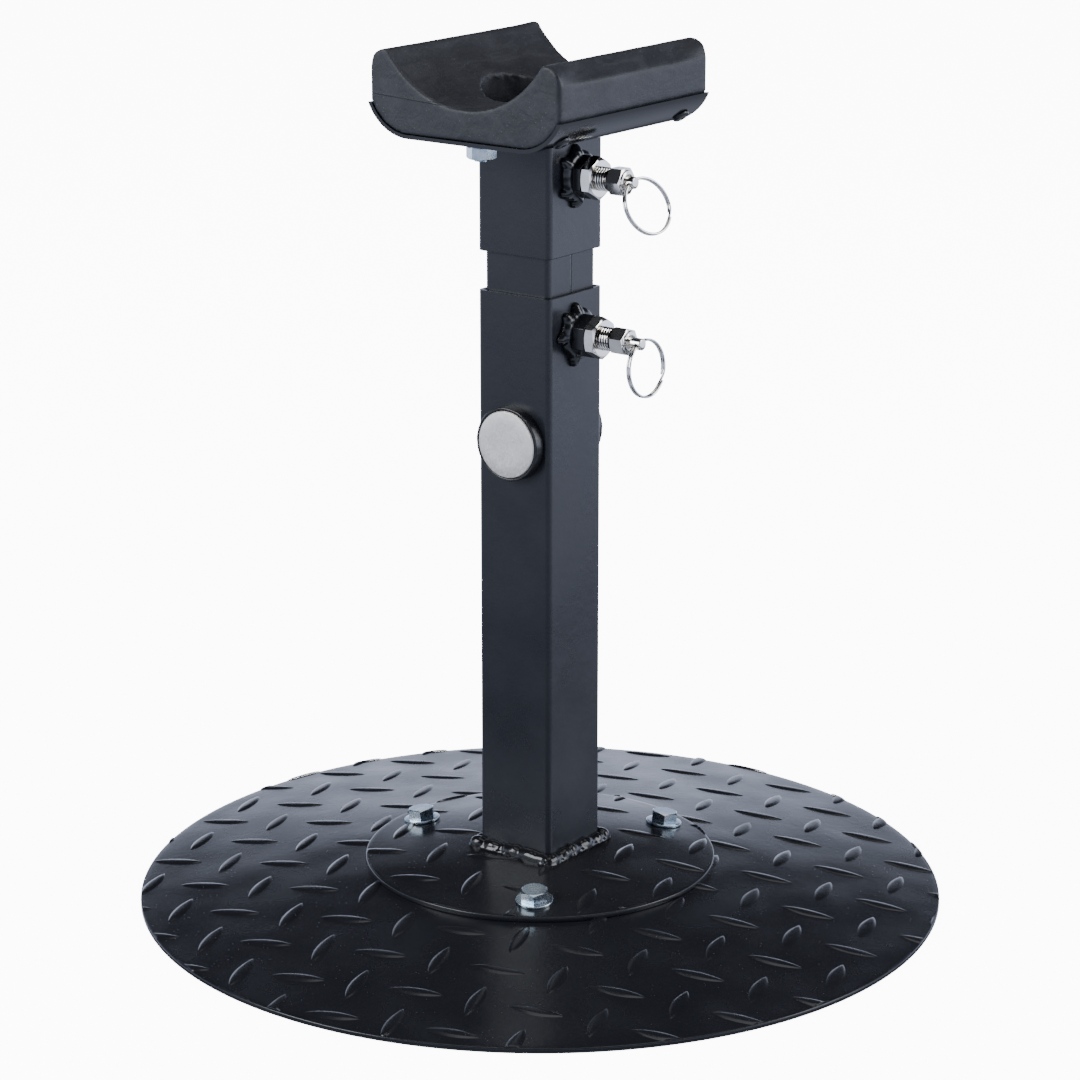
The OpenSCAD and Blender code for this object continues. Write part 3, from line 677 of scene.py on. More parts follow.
for side, where in ((0, "front"), (math.pi, "back")):
    out = (Matrix.Rotation(side, 4, "Z") @ Matrix.Translation((0, -TUBE_HALF, MAGNET_HEIGHT))
           @ Matrix.Rotation(math.pi / 2, 4, "X"))
    cup_outline = [(0, 0.0001), (CUP_RADIUS, 0.0001)]
    cup_outline += corner((CUP_RADIUS - CUP_LIP, CUP_DEPTH - CUP_LIP), CUP_LIP, 0, 90, 4)
    cup_outline += corner((DISC_RADIUS + CUP_LIP, CUP_DEPTH - CUP_LIP), CUP_LIP, 90, 180, 4)
    cup_outline += [(DISC_RADIUS, CUP_FLOOR), (0, CUP_FLOOR)]

    def rough_lip(wide, tall, turn):
        """Makes the pressed lip slightly uneven."""
        if tall < CUP_DEPTH * 0.6:
            return wide, tall
        there = Vector((math.cos(turn), math.sin(turn), side)) * 6.5
        return wide + 0.00022 * noise.noise(there), tall

    builder = bmesh.new()
    turned(builder, cup_outline, 144, out, rough_lip)
    cup = piece_from(builder, f"magnet_cup_{where}_painted", cup_coat)
    rim, back = DISC_RADIUS - 0.0002, CUP_FLOOR + 0.0001
    disc_outline = [(0, back), (rim, back), (rim, DISC_FACE - DISC_CHAMFER),
                    (rim - DISC_CHAMFER, DISC_FACE - 0.00005), (DISC_RADIUS - 0.001, DISC_FACE)]
    disc_outline += [(DISC_RADIUS * share, DISC_FACE) for share in (0.6, 0.3, 0)]
    builder = bmesh.new()
    turned(builder, disc_outline, 144, out)
    disc = piece_from(builder, f"magnet_disc_{where}_plated", plating, 20)
    for piece, node, slot in ((cup, f"magnet_cup_{where}", "magnet_cup_paint"),
                              (disc, f"magnet_disc_{where}", "magnet_plating")):
        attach(piece, "base")
        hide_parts(node)

# ---------------------------------------------------------------------------------------------
# Spring plungers
# Each tube carries one: a 19 mm nut welded to the face and painted, a nickel-plated jam nut, a
# threaded body with a spring inside, and a pin with a split key ring through its end.
NUT_FLATS = 0.019
JAM_NUT = 0.006
BARREL_RADIUS = 0.006
BARREL_LENGTH = 0.0222
BARREL_PITCH = 0.0015
BODY_FLATS = 0.013
BODY_HEX = 0.008
PIN_RADIUS = 0.003
BORE_RADIUS = PIN_RADIUS + 0.00005
CHAMBER_RADIUS = 0.0044
NOSE_GUIDE = 0.0035
SPRING_WIRE = 0.0004
SPRING_COIL = 0.0037
SPRING_TURNS = 8.0
WIRE = 0.00145
RING_RADIUS = 0.015 - WIRE / 2
RING_DROP = RING_RADIUS - (RING_RADIUS - math.sqrt(RING_RADIUS ** 2 - PIN_RADIUS ** 2)) / 2
OUTWARDS = Matrix.Rotation(math.pi / 2, 4, "Y")

nickel = bright_metal("nickel_plating", (0.80, 0.765, 0.70), 0.10, (0.86, 0.84, 0.80), grain=0.0003)
ring_steel = bright_metal("ring_plating", (0.78, 0.77, 0.75), 0.09, (0.88, 0.87, 0.86),
                          grain=0.0005, wear=0.2)
spring_steel = bright_metal("spring_steel", (0.42, 0.42, 0.42), 0.3, (0.5, 0.5, 0.5))


def spring_tree():
    """A coil of round wire with capped ends, standing on Z."""
    tree, given = new_tree("coil_spring", ("Material", "Material"), ("Coil Radius", "Float"),
                           ("Length", "Float"), ("Turns", "Float"), ("Wire Radius", "Float"))
    spiral = put(tree, "GeometryNodeCurveSpiral", {
        "Resolution": 24, "Rotations": given["Turns"], "Start Radius": given["Coil Radius"],
        "End Radius": given["Coil Radius"], "Height": given["Length"]})
    wire = put(tree, "GeometryNodeCurvePrimitiveCircle", {"Resolution": 8,
                                                          "Radius": given["Wire Radius"]})
    swept = put(tree, "GeometryNodeCurveToMesh", {
        "Curve": spiral.outputs[0], "Profile Curve": wire.outputs[0], "Fill Caps": True})
    painted_out(tree, given, swept.outputs[0])
    return tree


def split_ring(builder, place):
    """Two turns of wire side by side, crossing over once, with sawn ends."""
    steps, sides = 320, 12
    gap = math.radians(6)
    rings = []
    for step in range(steps + 1):
        turn = gap + (4 * math.pi - 2 * gap) * step / steps
        cross = min(1, max(0, (turn - 2 * math.pi + 3 * gap) / (6 * gap)))
        over = (3 * cross * cross - 2 * cross ** 3) - 0.5
        ring = []
        for point in range(sides):
            round_wire = 2 * math.pi * point / sides
            wide = RING_RADIUS + WIRE / 2 * 0.9 * math.cos(round_wire)
            side = over * WIRE + WIRE / 2 * 0.9 * math.sin(round_wire)
            spot = Vector((wide * math.cos(turn), wide * math.sin(turn), side))
            ring.append(builder.verts.new(place @ spot))
        rings.append(ring)
    skin(builder, rings)
    builder.faces.new(rings[0])
    builder.faces.new(rings[-1])


def drilled(piece, cutter):
    """Cuts one mesh out of another and drops the cutter."""
    cut = piece.modifiers.new("cut", "BOOLEAN")
    cut.operation = "DIFFERENCE"
    cut.solver = "EXACT"
    cut.object = cutter
    settle(piece)
    bpy.data.objects.remove(cutter)
    return piece


def nickel_with_painted_groove_shade(name, height, thread_end):
    """Nickel plate with painted shade: its colour is made near black down in the thread's grooves.
    """
    material = nickel.copy()
    material.name = name
    tree = material.node_tree
    shader = tree.nodes["Principled BSDF"]
    place = put(tree, "ShaderNodeTexCoord").outputs["Object"]
    parts = put(tree, "ShaderNodeSeparateXYZ", {0: place}).outputs
    up = calc(tree, "SUBTRACT", parts["Z"], height)
    radius = calc(tree, "SQRT", calc(tree, "ADD", calc(tree, "MULTIPLY", up, up),
                                     calc(tree, "MULTIPLY", parts["Y"], parts["Y"])))
    groove = ramp(tree, radius, BARREL_RADIUS - 0.0002, BARREL_RADIUS - 0.0007)
    deep = calc(tree, "MULTIPLY", groove, calc(tree, "LESS_THAN", parts["X"], thread_end))
    plate = shader.inputs["Base Color"].links[0].from_socket
    # Painted shade: the colour goes near black down in the thread's grooves, where shade falls.
    painted_groove_shade = put(tree, "ShaderNodeMix", {0: deep, 6: plate, 7: (0.06, 0.052, 0.045, 1)},
               data_type="RGBA")
    tree.links.new(painted_groove_shade.outputs[2], shader.inputs["Base Color"])
    return material


def plunger(level, body, jam_nut_at, barrel_at, hex_turn, ring_turn, lean, lumps):
    """All the pieces of one plunger, from the tube's face outwards."""
    nut_low, nut_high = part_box(f"{level}_weld_nut")
    height = (nut_low.z + nut_high.z) / 2
    face = Matrix.Translation((TUBE_HALF, 0, height)) @ OUTWARDS
    ring_tilt = Matrix.Rotation(ring_turn, 4, "X")

    # The nut is welded on before painting, so thick gloss paint rounds its edges
    weld_nut = eased_copy(f"{level}_weld_nut", f"{level}_weld_nut_painted", weld_black, 0.0007, 35)
    spread = []
    for step in range(48):
        turn = 2 * math.pi * step / 48
        swell = noise.noise(Vector((math.cos(turn) * 1.4, math.sin(turn) * 1.4, height * 90)))
        radius = 0.0098 + 0.0006 * swell
        spread.append((face @ Vector((radius * math.cos(turn), radius * math.sin(turn), 0.0009)),
                       0.0036 + 0.0005 * swell))
    for number, lump in enumerate(lumps):
        turn = math.radians(lump)
        for share in (0.0, 0.33, 0.66, 1.0):
            odd = noise.noise(Vector((number * 3.1, share * 2, height * 50)))
            radius, bent = 0.0105 + 0.0032 * share, turn + 0.14 * odd
            spot = Vector((radius * math.cos(bent), radius * math.sin(bent),
                           0.0010 - 0.0005 * share))
            spread.append((face @ spot, 0.0039 - 0.0011 * share + 0.0006 * odd))
    weld = fused(spread, f"{level}_nut_weld_beads", weld_black, 0.0004, 14)
    for vertex in weld.data.vertices:
        vertex.co.x = max(vertex.co.x, TUBE_HALF - 0.0002)

    builder = bmesh.new()
    six_sided(builder, NUT_FLATS, jam_nut_at, jam_nut_at + JAM_NUT, bore=BARREL_RADIUS + 0.00005,
              both=True, place=face)
    jam_nut = piece_from(builder, f"{level}_jam_nut_plated", nickel, 24)

    # Body: rolled thread, hexagon, and a turned collar flared where the pin comes out
    hex_start = barrel_at + BARREL_LENGTH
    hex_end = hex_start + BODY_HEX
    end = hex_end + 0.001
    builder = bmesh.new()
    threaded(builder, 2 * BARREL_RADIUS, BARREL_PITCH, barrel_at, hex_start - 0.0008, face,
             bore=CHAMBER_RADIUS)
    tubes = ((CHAMBER_RADIUS, 0.0051, hex_start - 0.0009, hex_start + 0.0003),
             (BORE_RADIUS, CHAMBER_RADIUS + 0.0001, barrel_at, barrel_at + NOSE_GUIDE),
             (BORE_RADIUS, CHAMBER_RADIUS + 0.0001, hex_start + 0.0050, hex_end))
    for inside, outside, low, high in tubes:
        tube = [(inside, low), (outside, low), (outside, high), (inside, high), (inside, low)]
        turned(builder, tube, 48, face)
    hexed = face @ Matrix.Rotation(hex_turn, 4, "Z")
    six_sided(builder, BODY_FLATS, hex_start, hex_end, bore=CHAMBER_RADIUS, both=True, bevel=24,
              place=hexed)
    collar = [(0.0041, hex_end - 0.0003), (0.0060, hex_end - 0.0003), (0.0060, hex_end + 0.0001)]
    collar += corner((0.0054, hex_end + 0.0002), 0.0006, 0, 60, 3)
    collar += [(0.0048, end - 0.0001), (0.0045, end), (0.0040, end), (0.0036, end - 0.0004),
               (BORE_RADIUS, end - 0.0009), (BORE_RADIUS, hex_end - 0.0004)]
    collar.append(collar[0])
    turned(builder, collar, 72, face)
    # Nickel with painted shade darkening the thread's grooves.
    groove_shaded_nickel = nickel_with_painted_groove_shade(f"{level}_thread_nickel", height, TUBE_HALF + hex_start)
    barrel = piece_from(builder, f"{level}_plunger_body_plated", groove_shaded_nickel, 26)

    # Spring in the body's chamber, between the pin's collar and the chamber's end
    spring_low, spring_high = (end.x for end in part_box(f"{level}_plunger_spring"))
    spring = new_piece(f"{level}_spring_coil", spring_steel)
    run_tree(spring, coil, Material=spring_steel, Coil_Radius=SPRING_COIL, Turns=SPRING_TURNS,
             Wire_Radius=SPRING_WIRE, Length=spring_high - spring_low - 2 * SPRING_WIRE)
    spring.data.transform(Matrix.Translation((spring_low + SPRING_WIRE, 0, height)) @ OUTWARDS)
    spring.data.shade_smooth()

    # Pin: turned and polished, with a domed outer end and a cross hole for the ring
    tip, tail = (end.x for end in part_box(f"{level}_pin"))
    pin_length = tail - tip
    along = Matrix.Translation((tip, 0, height)) @ OUTWARDS
    collar_at, collar_radius = 0.0131, 0.00405
    outline = [(0, 0), (PIN_RADIUS - 0.0008, 0), (PIN_RADIUS - 0.0001, 0.0007),
               (PIN_RADIUS, 0.0009), (PIN_RADIUS, collar_at), (collar_radius, collar_at),
               (collar_radius, collar_at + 0.002), (PIN_RADIUS, collar_at + 0.002),
               (PIN_RADIUS, pin_length - 0.0007)]
    outline += corner((PIN_RADIUS - 0.0007, pin_length - 0.0007), 0.0007, 10, 80, 5)
    outline += [(PIN_RADIUS * 0.4, pin_length), (0, pin_length)]
    builder = bmesh.new()
    turned(builder, outline, 64, along)
    pin = piece_from(builder, f"{level}_pin_polished", nickel, 28)
    hole = tip + pin_length - 0.0028
    at_hole = Matrix.Translation((hole, 0, height)) @ ring_tilt
    builder = bmesh.new()
    turned(builder, [(0, -0.005), (0.00185, -0.005), (0.00185, 0.005), (0, 0.005)], 32,
           at_hole @ Matrix.Rotation(math.pi / 2, 4, "X"))
    drilled(pin, piece_from(builder, "drill", nickel))
    pin.data.set_sharp_from_angle(angle=math.radians(28))

    # Split ring: hangs through the cross hole and leans outwards
    hang = (at_hole @ Matrix.Rotation(-lean, 4, "Y") @ Matrix.Translation((0, 0, -RING_DROP))
            @ OUTWARDS @ Matrix.Rotation(math.radians(40), 4, "Z"))
    builder = bmesh.new()
    split_ring(builder, hang)
    ring = piece_from(builder, f"{level}_split_ring", ring_steel, 50)

    for piece, node, rides, slot in (
            (weld_nut, "weld_nut", body, "weld_black"),
            (weld, "nut_weld", body, "weld_black"),
            (jam_nut, "jam_nut", body, "nickel_plating"),
            (barrel, "plunger_body", body, "nickel_plating"),
            (spring, "plunger_spring", body, "spring_steel"),
            (pin, "pin", f"{level}_pin", "nickel_plating"),
            (ring, "pull_ring", f"{level}_ring", "nickel_plating")):
        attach(piece, rides)
        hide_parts(f"{level}_{node}")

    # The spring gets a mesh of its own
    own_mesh(spring)


coil = spring_tree()
plunger("lower", "base", jam_nut_at=0.0115, barrel_at=0.0026, hex_turn=math.radians(13),
        ring_turn=math.radians(21), lean=math.radians(5), lumps=(85, 185, 225, 268, 345))

# ---------------------------------------------------------------------------------------------
# Inner tube
# 40 mm square tube that slides in the lower tube, with a row of height holes down its +X wall.
# The tube's own seam weld shows as a faint line down the middle of that wall.
inner_coat = powder_coat("inner_tube_coat", (0.0100, 0.0112, 0.0162), 0.34, dust=0.25, peel=0.6)
tree = inner_coat.node_tree
shader = tree.nodes["Principled BSDF"]
place = put(tree, "ShaderNodeTexCoord").outputs["Object"]
beside = put(tree, "ShaderNodeSeparateXYZ", {0: place}).outputs["Y"]
seam = ramp(tree, calc(tree, "ABSOLUTE", calc(tree, "ADD", beside, 0.0011)), 0.0007, 0.0002)
seamed = put(tree, "ShaderNodeBump", {"Height": seam, "Strength": 1.0, "Distance": -0.0005,
                                      "Normal": shader.inputs["Normal"].links[0].from_socket})
tree.links.new(seamed.outputs["Normal"], shader.inputs["Normal"])
inner_tube = eased_copy("inner_tube", "inner_tube_coated", inner_coat, 0.0004)
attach(inner_tube, "mast")
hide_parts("inner_tube")

# ---------------------------------------------------------------------------------------------
# Head sleeve
# A short length of the 45 mm tube, welded under the cradle, that drops over the inner tube.
head_sleeve = eased_copy("head_sleeve", "head_sleeve_coated", tube_coat, 0.0005)
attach(head_sleeve, "head")
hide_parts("head_sleeve")

plunger("upper", "head", jam_nut_at=0.009, barrel_at=0.0003, hex_turn=math.radians(30),
        ring_turn=math.radians(22), lean=math.radians(27), lumps=(90, 190, 235, 305, 350))

# ---------------------------------------------------------------------------------------------
# Cradle tray
# 2 mm sheet pressed with round sides, welded on the sleeve and painted gloss black. The cut edges
# are rounded by thick paint.
TRAY_LOW, TRAY_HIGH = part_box("cradle_tray")
tray_paint = powder_coat("tray_paint", (0.0085, 0.0092, 0.0122), 0.13, dust=0.35, peel=0.3)
cradle_tray = eased_copy("cradle_tray", "cradle_tray_painted", tray_paint, 0.00085, 32, 4)
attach(cradle_tray, "head")
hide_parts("cradle_tray")

# Weld between the sleeve and the tray, run in short stitches on all four sides
STITCHES = 26
blobs = []
for side in range(4):
    turn = Matrix.Rotation(math.pi / 2 * side, 4, "Z")
    for step in range(STITCHES):
        along = (step + 0.5) / STITCHES * 2 - 1
        jitter = noise.noise(Vector((step * 1.37, side * 5.3, 8.8)))
        spot = turn @ Vector((TUBE_HALF + 0.0006, along * TUBE_HALF, TRAY_LOW.z - 0.0009))
        blobs.append((spot, 0.0023 + 0.0006 * jitter))
tray_weld = fused(blobs, "tray_weld_bead", weld_black, 0.0005, 2)
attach(tray_weld, "head")
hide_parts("tray_weld")

# ---------------------------------------------------------------------------------------------
# Rubber pad
# One solid moulding of dark rubber that sits in the tray: a round trough for the hoof, tall
# rounded walls, and a hole through the middle with ragged flash left by the mould.
PAD_LOW, PAD_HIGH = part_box("rubber_pad")
TROUGH_RADIUS = 0.056
TROUGH_CENTRE = TRAY_LOW.z + 0.0174 + TROUGH_RADIUS
RIDGE = PAD_HIGH.z
SHOULDER = TRAY_LOW.z + 0.0337
UPRIGHT = 0.002
PAD_SIDE = PAD_HIGH.x
PAD_END = PAD_HIGH.y
HOLE_RADIUS = 0.029
SIDE_RADIUS = 0.025
FLOOR_HALF = 0.034
PAD_GRAIN = 0.00105
RIDGE_X = math.sqrt(TROUGH_RADIUS ** 2 - (TROUGH_CENTRE - RIDGE) ** 2)
TRAY_RIM = TRAY_LOW.z + 0.0165

rubber, tree, shader, place = new_finish("cradle_rubber", Specular_IOR_Level=0.38)
parts = put(tree, "ShaderNodeSeparateXYZ", {0: place}).outputs
bloom = cloudy(tree, place, 0.022, 4.0, 0.55)
streaks = put(tree, "ShaderNodeMapping", {"Vector": place, "Scale": (1.0, 0.35, 1.0)}).outputs[0]
flow = cloudy(tree, streaks, 0.010, 4.0, 0.6, 1.6)
dusty = ramp(tree, cloudy(tree, place, 0.009), 0.47, 0.57)
specks = calc(tree, "MULTIPLY", spots(tree, place, 0.0022, 0.16), dusty)
scuffs = put(tree, "ShaderNodeMapping", {
    "Vector": place, "Scale": (1.0, 0.12, 0.5), "Rotation": (0.2, 0.1, 0.5)})
scratch = ramp(tree, cloudy(tree, scuffs.outputs[0], 0.0016, 3.0, 0.6), 0.66, 0.78)
shade = specks
for layer, share in ((ramp(tree, bloom, 0.3, 0.75), 0.16), (scratch, 0.35),
                     (ramp(tree, flow, 0.5, 0.62), 0.1)):
    shade = calc(tree, "ADD", shade, calc(tree, "MULTIPLY", layer, share))
tree.links.new(tint(tree, shade, (0.0185, 0.0195, 0.0245), (0.085, 0.088, 0.100)),
               shader.inputs["Base Color"])
gloss = ramp(tree, flow, 0.35, 0.65, 0.46, 0.56)
tree.links.new(calc(tree, "ADD", gloss, calc(tree, "MULTIPLY", specks, 0.2)),
               shader.inputs["Roughness"])

# The mould's parting line, on the ends only
ends = ramp(tree, calc(tree, "ABSOLUTE", parts["Y"]), PAD_END - 0.004, PAD_END - 0.001)
left_half = ramp(tree, parts["X"], 0.012, -0.004)
level = calc(tree, "ADD", TRAY_LOW.z + 0.0182, calc(tree, "MULTIPLY", parts["X"], -0.05))
off_line = calc(tree, "ABSOLUTE", calc(tree, "SUBTRACT", parts["Z"], level))
line = ramp(tree, off_line, 0.0007, 0.0002)
parting = calc(tree, "MULTIPLY", line, calc(tree, "MULTIPLY", ends, left_half))
bumps(tree, shader, (parting, 0.8, 0.0004), (flow, 0.25, 0.0009),
      (cloudy(tree, place, 0.0011, 2.0), 0.3, 0.00018),
      (cloudy(tree, place, 0.006, 3.0), 0.3, 0.0007))


def pad_section(swell):
    """Section across the trough, anticlockwise from the floor; swell rounds the shoulders."""
    low = TRAY_LOW.z + 0.002
    middle = low + SIDE_RADIUS
    rim_turn = math.degrees(math.asin((TRAY_RIM - middle) / SIDE_RADIUS))
    right = corner((FLOOR_HALF, middle), SIDE_RADIUS, -90, rim_turn, 12)
    right += [(PAD_SIDE, TRAY_RIM), (PAD_SIDE, TRAY_RIM + 0.004)]
    crest = RIDGE_X + 0.0015
    for share in (0.0, 0.15, 0.3, 0.5, 0.7, 0.85, 1.0):
        bulge = swell * math.sin(math.pi * share)
        right.append((min(PAD_SIDE, PAD_SIDE + (crest - PAD_SIDE) * share + bulge * 0.7),
                      min(RIDGE, SHOULDER + (RIDGE - SHOULDER) * share + bulge * 0.7)))
    right.append((RIDGE_X, RIDGE))
    half = math.degrees(math.asin(RIDGE_X / TROUGH_RADIUS))
    trough = corner((0, TROUGH_CENTRE), TROUGH_RADIUS, half - 90, -half - 90, 40)
    left = [(-x, z) for x, z in reversed(right)]
    return right + trough[1:-1] + left


builder = bmesh.new()
rows = []
ends = [PAD_END - UPRIGHT * (1 - math.cos(math.radians(15 * i))) for i in range(7)]
ends += [PAD_END - UPRIGHT - 0.004 * i for i in range(1, 7)]
for along in [-y for y in ends] + ends[::-1]:
    inside = UPRIGHT - (PAD_END - abs(along))
    pull = UPRIGHT - math.sqrt(max(0.0, UPRIGHT ** 2 - max(0.0, inside) ** 2))
    fade = max(0.0, 1 - (PAD_END - abs(along)) / 0.024)
    section = pad_section(0.0030 * fade ** 1.5)
    row = []
    for x, z in section:
        share = min(1, max(0, (z - TRAY_RIM + 0.001) / 0.004))
        limit = PAD_SIDE - pull * share if z > TRAY_RIM - 0.001 else abs(x)
        row.append(builder.verts.new((math.copysign(min(abs(x), limit), x), along, z)))
    rows.append(row)
builder.faces.new(rows[0])
builder.faces.new(rows[-1])
skin(builder, rows)
rubber_pad = piece_from(builder, "rubber_cradle_pad", rubber)

# The middle hole, not quite round
builder = bmesh.new()
bottom, top = TRAY_LOW.z - 0.01, RIDGE + 0.02
turned(builder, [(0, bottom), (HOLE_RADIUS, bottom), (HOLE_RADIUS, top), (0, top)], 160,
       radius_at=lambda wide, tall, turn: (
           wide + 0.0007 * noise.noise(Vector((math.cos(turn), math.sin(turn), 0)) * 5.0), tall))
drilled(rubber_pad, piece_from(builder, "core", rubber))
melt(rubber_pad, PAD_GRAIN, 9)

# Ragged flash round the hole's mouth, and a slight waviness all over
for vertex in rubber_pad.data.vertices:
    spot = vertex.co
    radius = spot.xy.length
    mouth = abs(radius - HOLE_RADIUS)
    top = TROUGH_CENTRE - math.sqrt(max(0, TROUGH_RADIUS ** 2 - spot.x ** 2))
    if mouth < 0.003 and abs(spot.z - top) < 0.003:
        ragged = noise.noise(spot / 0.0045) + 0.6 * noise.noise(spot / 0.0021)
        spot.xy *= 1 - 0.0008 * max(-0.3, ragged) * (1 - mouth / 0.003) / radius
    spot.x += 0.0002 * noise.noise(Vector((spot.y, spot.z, 3.0)) / 0.03)
    spot.z = min(RIDGE, spot.z + 0.00025 * noise.noise(Vector((spot.x, spot.y, 6.0)) / 0.025))
rubber_pad.data.shade_smooth()
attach(rubber_pad, "head")
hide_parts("rubber_pad")

# ---------------------------------------------------------------------------------------------
# Pad bolts and nuts
# Two M8 bolts with their heads moulded into the pad, pulled down through the tray by flanged
# zinc nuts.
FLANGE_NUT = 0.00895
PAD_BOLT_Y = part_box("pad_nuts")[1].y - FLANGE_NUT
PAD_BOLT_LOW, PAD_BOLT_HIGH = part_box("pad_bolts")
under_tray = Matrix.Translation((0, 0, TRAY_LOW.z)) @ Matrix.Diagonal((1, 1, -1, 1))
pad_places = dict(Count=2, Radius=PAD_BOLT_Y, First=math.pi / 2, Tilt=0.0, Height=0.0)
builder = bmesh.new()
six_sided(builder, BOLT_FLATS, PAD_BOLT_HIGH.z - 0.0053, PAD_BOLT_HIGH.z)
threaded(builder, BOLT_SIZE, THREAD_PITCH, PAD_BOLT_LOW.z, PAD_BOLT_HIGH.z - 0.005)
pad_bolts = on_circle(piece_from(builder, "stud", zinc, 24), "pad_studs", bolt_tree, zinc,
                      **pad_places)
builder = bmesh.new()
six_sided(builder, BOLT_FLATS, 0.0008, 0.008, bore=THREAD_BORE, place=under_tray)
skirt = [(THREAD_BORE, 0.0)] + corner((FLANGE_NUT - 0.0003, 0.0003), 0.0003, -90, 60, 4)
skirt += [(FLANGE_NUT - 0.0009, 0.0010), (0.0070, 0.0021), (0.0066, 0.0024), (THREAD_BORE, 0.0024),
          (THREAD_BORE, 0.0)]
turned(builder, skirt, 96, under_tray)
pad_nuts = on_circle(piece_from(builder, "nut", zinc, 24), "pad_flange_nuts", bolt_tree, zinc,
                     **pad_places)
for piece, node in ((pad_bolts, "pad_bolts"), (pad_nuts, "pad_nuts")):
    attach(piece, "head")
    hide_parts(node)

# ---------------------------------------------------------------------------------------------
# Tray screws
# Four button-head screws through the tray's round sides into the pad, black, with a small socket.
SCREW_Y = 0.050
SCREW_ANGLE = math.radians(36.4)
TRAY_SIDE = SIDE_RADIUS + 0.002
SHANK = 0.002
BUTTON = 0.0045
BUTTON_RIM = 0.0004
screw_black = powder_coat("screw_black", (0.012, 0.0122, 0.014), 0.28, dust=0.1, peel=0.3)


def side_tree():
    """Sets a part at four corners, square to the tray's round sides."""
    tree, given = new_tree("tray_sides", ("Part", "Object"), ("Material", "Material"),
                           ("Half Width", "Float"), ("Half Length", "Float"), ("Height", "Float"),
                           ("Tilt", "Float"))
    grid = put(tree, "GeometryNodeMeshGrid", {
        "Size X": calc(tree, "MULTIPLY", given["Half Width"], 2.0),
        "Size Y": calc(tree, "MULTIPLY", given["Half Length"], 2.0),
        "Vertices X": 2, "Vertices Y": 2})
    raised = put(tree, "GeometryNodeTransform", {
        "Geometry": grid.outputs["Mesh"],
        "Translation": put(tree, "ShaderNodeCombineXYZ", {"Z": given["Height"]}).outputs[0]})
    position = put(tree, "GeometryNodeInputPosition").outputs[0]
    there = put(tree, "ShaderNodeSeparateXYZ", {0: position}).outputs
    half_turn = calc(tree, "MULTIPLY", calc(tree, "LESS_THAN", there[0], 0.0), math.pi)
    part = put(tree, "GeometryNodeObjectInfo", {"Object": given["Part"]})
    facing = put(tree, "ShaderNodeCombineXYZ", {"Y": given["Tilt"], "Z": half_turn})
    placed = put(tree, "GeometryNodeInstanceOnPoints", {
        "Points": raised.outputs[0], "Instance": part.outputs["Geometry"],
        "Rotation": facing.outputs[0]})
    painted_out(tree, given, placed.outputs[0])
    return tree


def socket(wide, tall, turn):
    """Makes the hole in the head's middle six-sided."""
    if wide > 0.0016 or tall < 0.0005:
        return wide, tall
    return wide * 0.93 / math.cos((turn % (math.pi / 3)) - math.pi / 6), tall


button = [(0, -0.012), (SHANK, -0.012), (SHANK, 0.0001), (BUTTON, 0.0001), (BUTTON, BUTTON_RIM)]
button += [(BUTTON * math.cos(math.radians(a)) ** 0.8,
            BUTTON_RIM + 0.0018 * math.sin(math.radians(a))) for a in (15, 30, 45, 60, 72)]
button += [(0.0015, 0.0022), (0.00145, 0.0021), (0.0014, 0.0010), (0, 0.0008)]
builder = bmesh.new()
turned(builder, button, 60, radius_at=socket)
tray_screws = on_circle(
    piece_from(builder, "screw", screw_black, 30), "tray_button_screws", side_tree(), screw_black,
    Half_Width=FLOOR_HALF + TRAY_SIDE * math.sin(SCREW_ANGLE), Half_Length=SCREW_Y,
    Height=TRAY_LOW.z + TRAY_SIDE * (1 - math.cos(SCREW_ANGLE)), Tilt=math.pi - SCREW_ANGLE)
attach(tray_screws, "head")
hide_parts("tray_screws")

# ---------------------------------------------------------------------------------------------
# Studio
# A plain white floor, a low white surround with a darker ceiling, and large soft lights. The
# floor's glow keeps it white; it isn't reflected in the stand and doesn't light it.
FLOOR_GLOW = 11.0
STUDIO_REACH = 12
SURROUND_STRENGTH = 1.9
CAMERA_SPOT = (1.0033, -1.3456, 0.6816)
CAMERA_DOWN = math.radians(16.31)
CAMERA_ROUND = math.radians(36.71)
CAMERA_LENS = 113.5
floor_paint, tree, shader, place = new_finish("floor_paint", Roughness=0.9, Specular_IOR_Level=0.1)
shader.inputs["Base Color"].default_value = (0.93, 0.93, 0.935, 1)
shader.inputs["Emission Color"].default_value = (1, 1, 1, 1)
shader.inputs["Emission Strength"].default_value = FLOOR_GLOW
builder = bmesh.new()
bmesh.ops.create_grid(builder, x_segments=1, y_segments=1, size=STUDIO_REACH)
floor = piece_from(builder, "floor", floor_paint)
floor.data.transform(Matrix.Translation((0, 0, -0.0002)))
floor.visible_glossy = False
floor.visible_diffuse = False

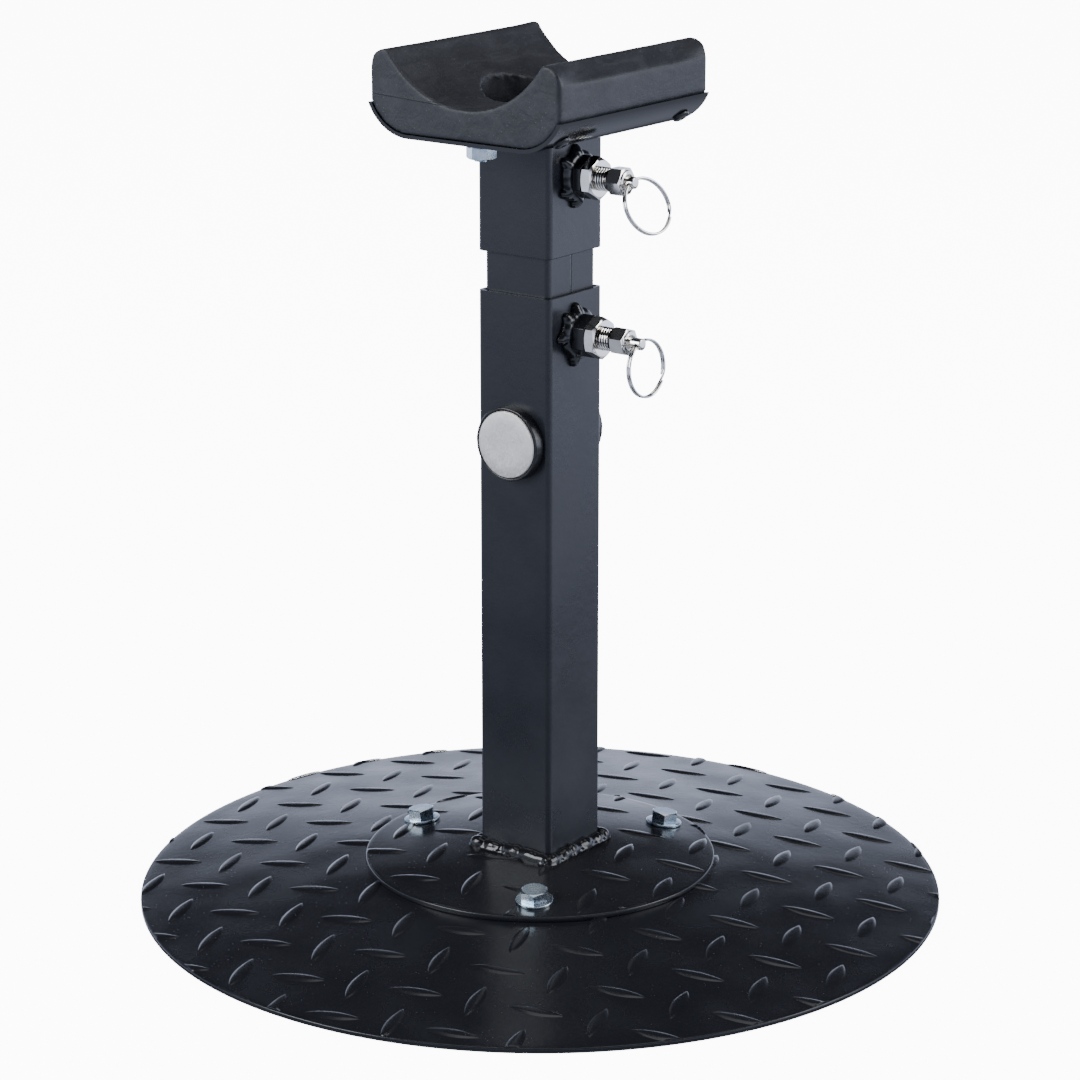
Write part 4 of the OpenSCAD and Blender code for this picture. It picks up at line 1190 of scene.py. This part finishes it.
world = bpy.data.worlds.new("studio")
bpy.context.scene.world = world
world.use_nodes = True
tree = world.node_tree
background = tree.nodes["Background"]
direction = put(tree, "ShaderNodeTexCoord").outputs["Generated"]
towards = put(tree, "ShaderNodeSeparateXYZ", {0: direction}).outputs
up, rear = towards["Z"], towards["Y"]
above = ramp(tree, up, math.sin(math.radians(20)), math.sin(math.radians(9)))
below = ramp(tree, up, math.sin(math.radians(-20)), math.sin(math.radians(-10)))
low_glow = ramp(tree, up, math.sin(math.radians(10)), math.sin(math.radians(-4)), 0.92, 1.35)
sides = ramp(tree, rear, -0.9, 0.75, 0.38, 1.0)
band = calc(tree, "MULTIPLY", calc(tree, "MULTIPLY", above, below),
            calc(tree, "MULTIPLY", sides, low_glow))
under = ramp(tree, up, -0.34, -0.72, 0.0, 0.42)
glow = calc(tree, "ADD", band, under)
tree.links.new(tint(tree, glow, (0.022, 0.023, 0.028), (0.84, 0.92, 1.16)),
               background.inputs["Color"])
background.inputs["Strength"].default_value = SURROUND_STRENGTH


def soft_light(name, where, aim, size, power, colour=(1, 1, 1)):
    """A rectangular light that faces its aim."""
    light = bpy.data.lights.new(name, "AREA")
    light.shape = "RECTANGLE"
    light.size, light.size_y = size
    light.energy = power
    light.color = colour
    lamp = bpy.data.objects.new(name, light)
    lamp.location = where
    lamp.rotation_euler = (Vector(aim) - Vector(where)).to_track_quat("-Z", "Y").to_euler()
    bpy.context.scene.collection.objects.link(lamp)


soft_light("overhead", (0.2, 0.1, 2.6), (0, 0, 0.2), (2.2, 2.2), 20)
soft_light("right", (2.2, 1.2, 1.3), (0, 0, 0.25), (1.4, 1.8), 45, (0.95, 0.975, 1.0))
soft_light("front_left", (-1.2, -2.2, 1.5), (0, 0, 0.25), (1.6, 1.6), 78, (0.93, 0.965, 1.0))

camera = bpy.data.objects.new("camera", bpy.data.cameras.new("camera"))
camera.data.lens = CAMERA_LENS
camera.data.sensor_width = 36
camera.location = CAMERA_SPOT
camera.rotation_euler = (math.pi / 2 - CAMERA_DOWN, 0, CAMERA_ROUND)
bpy.context.scene.collection.objects.link(camera)
bpy.context.scene.camera = camera
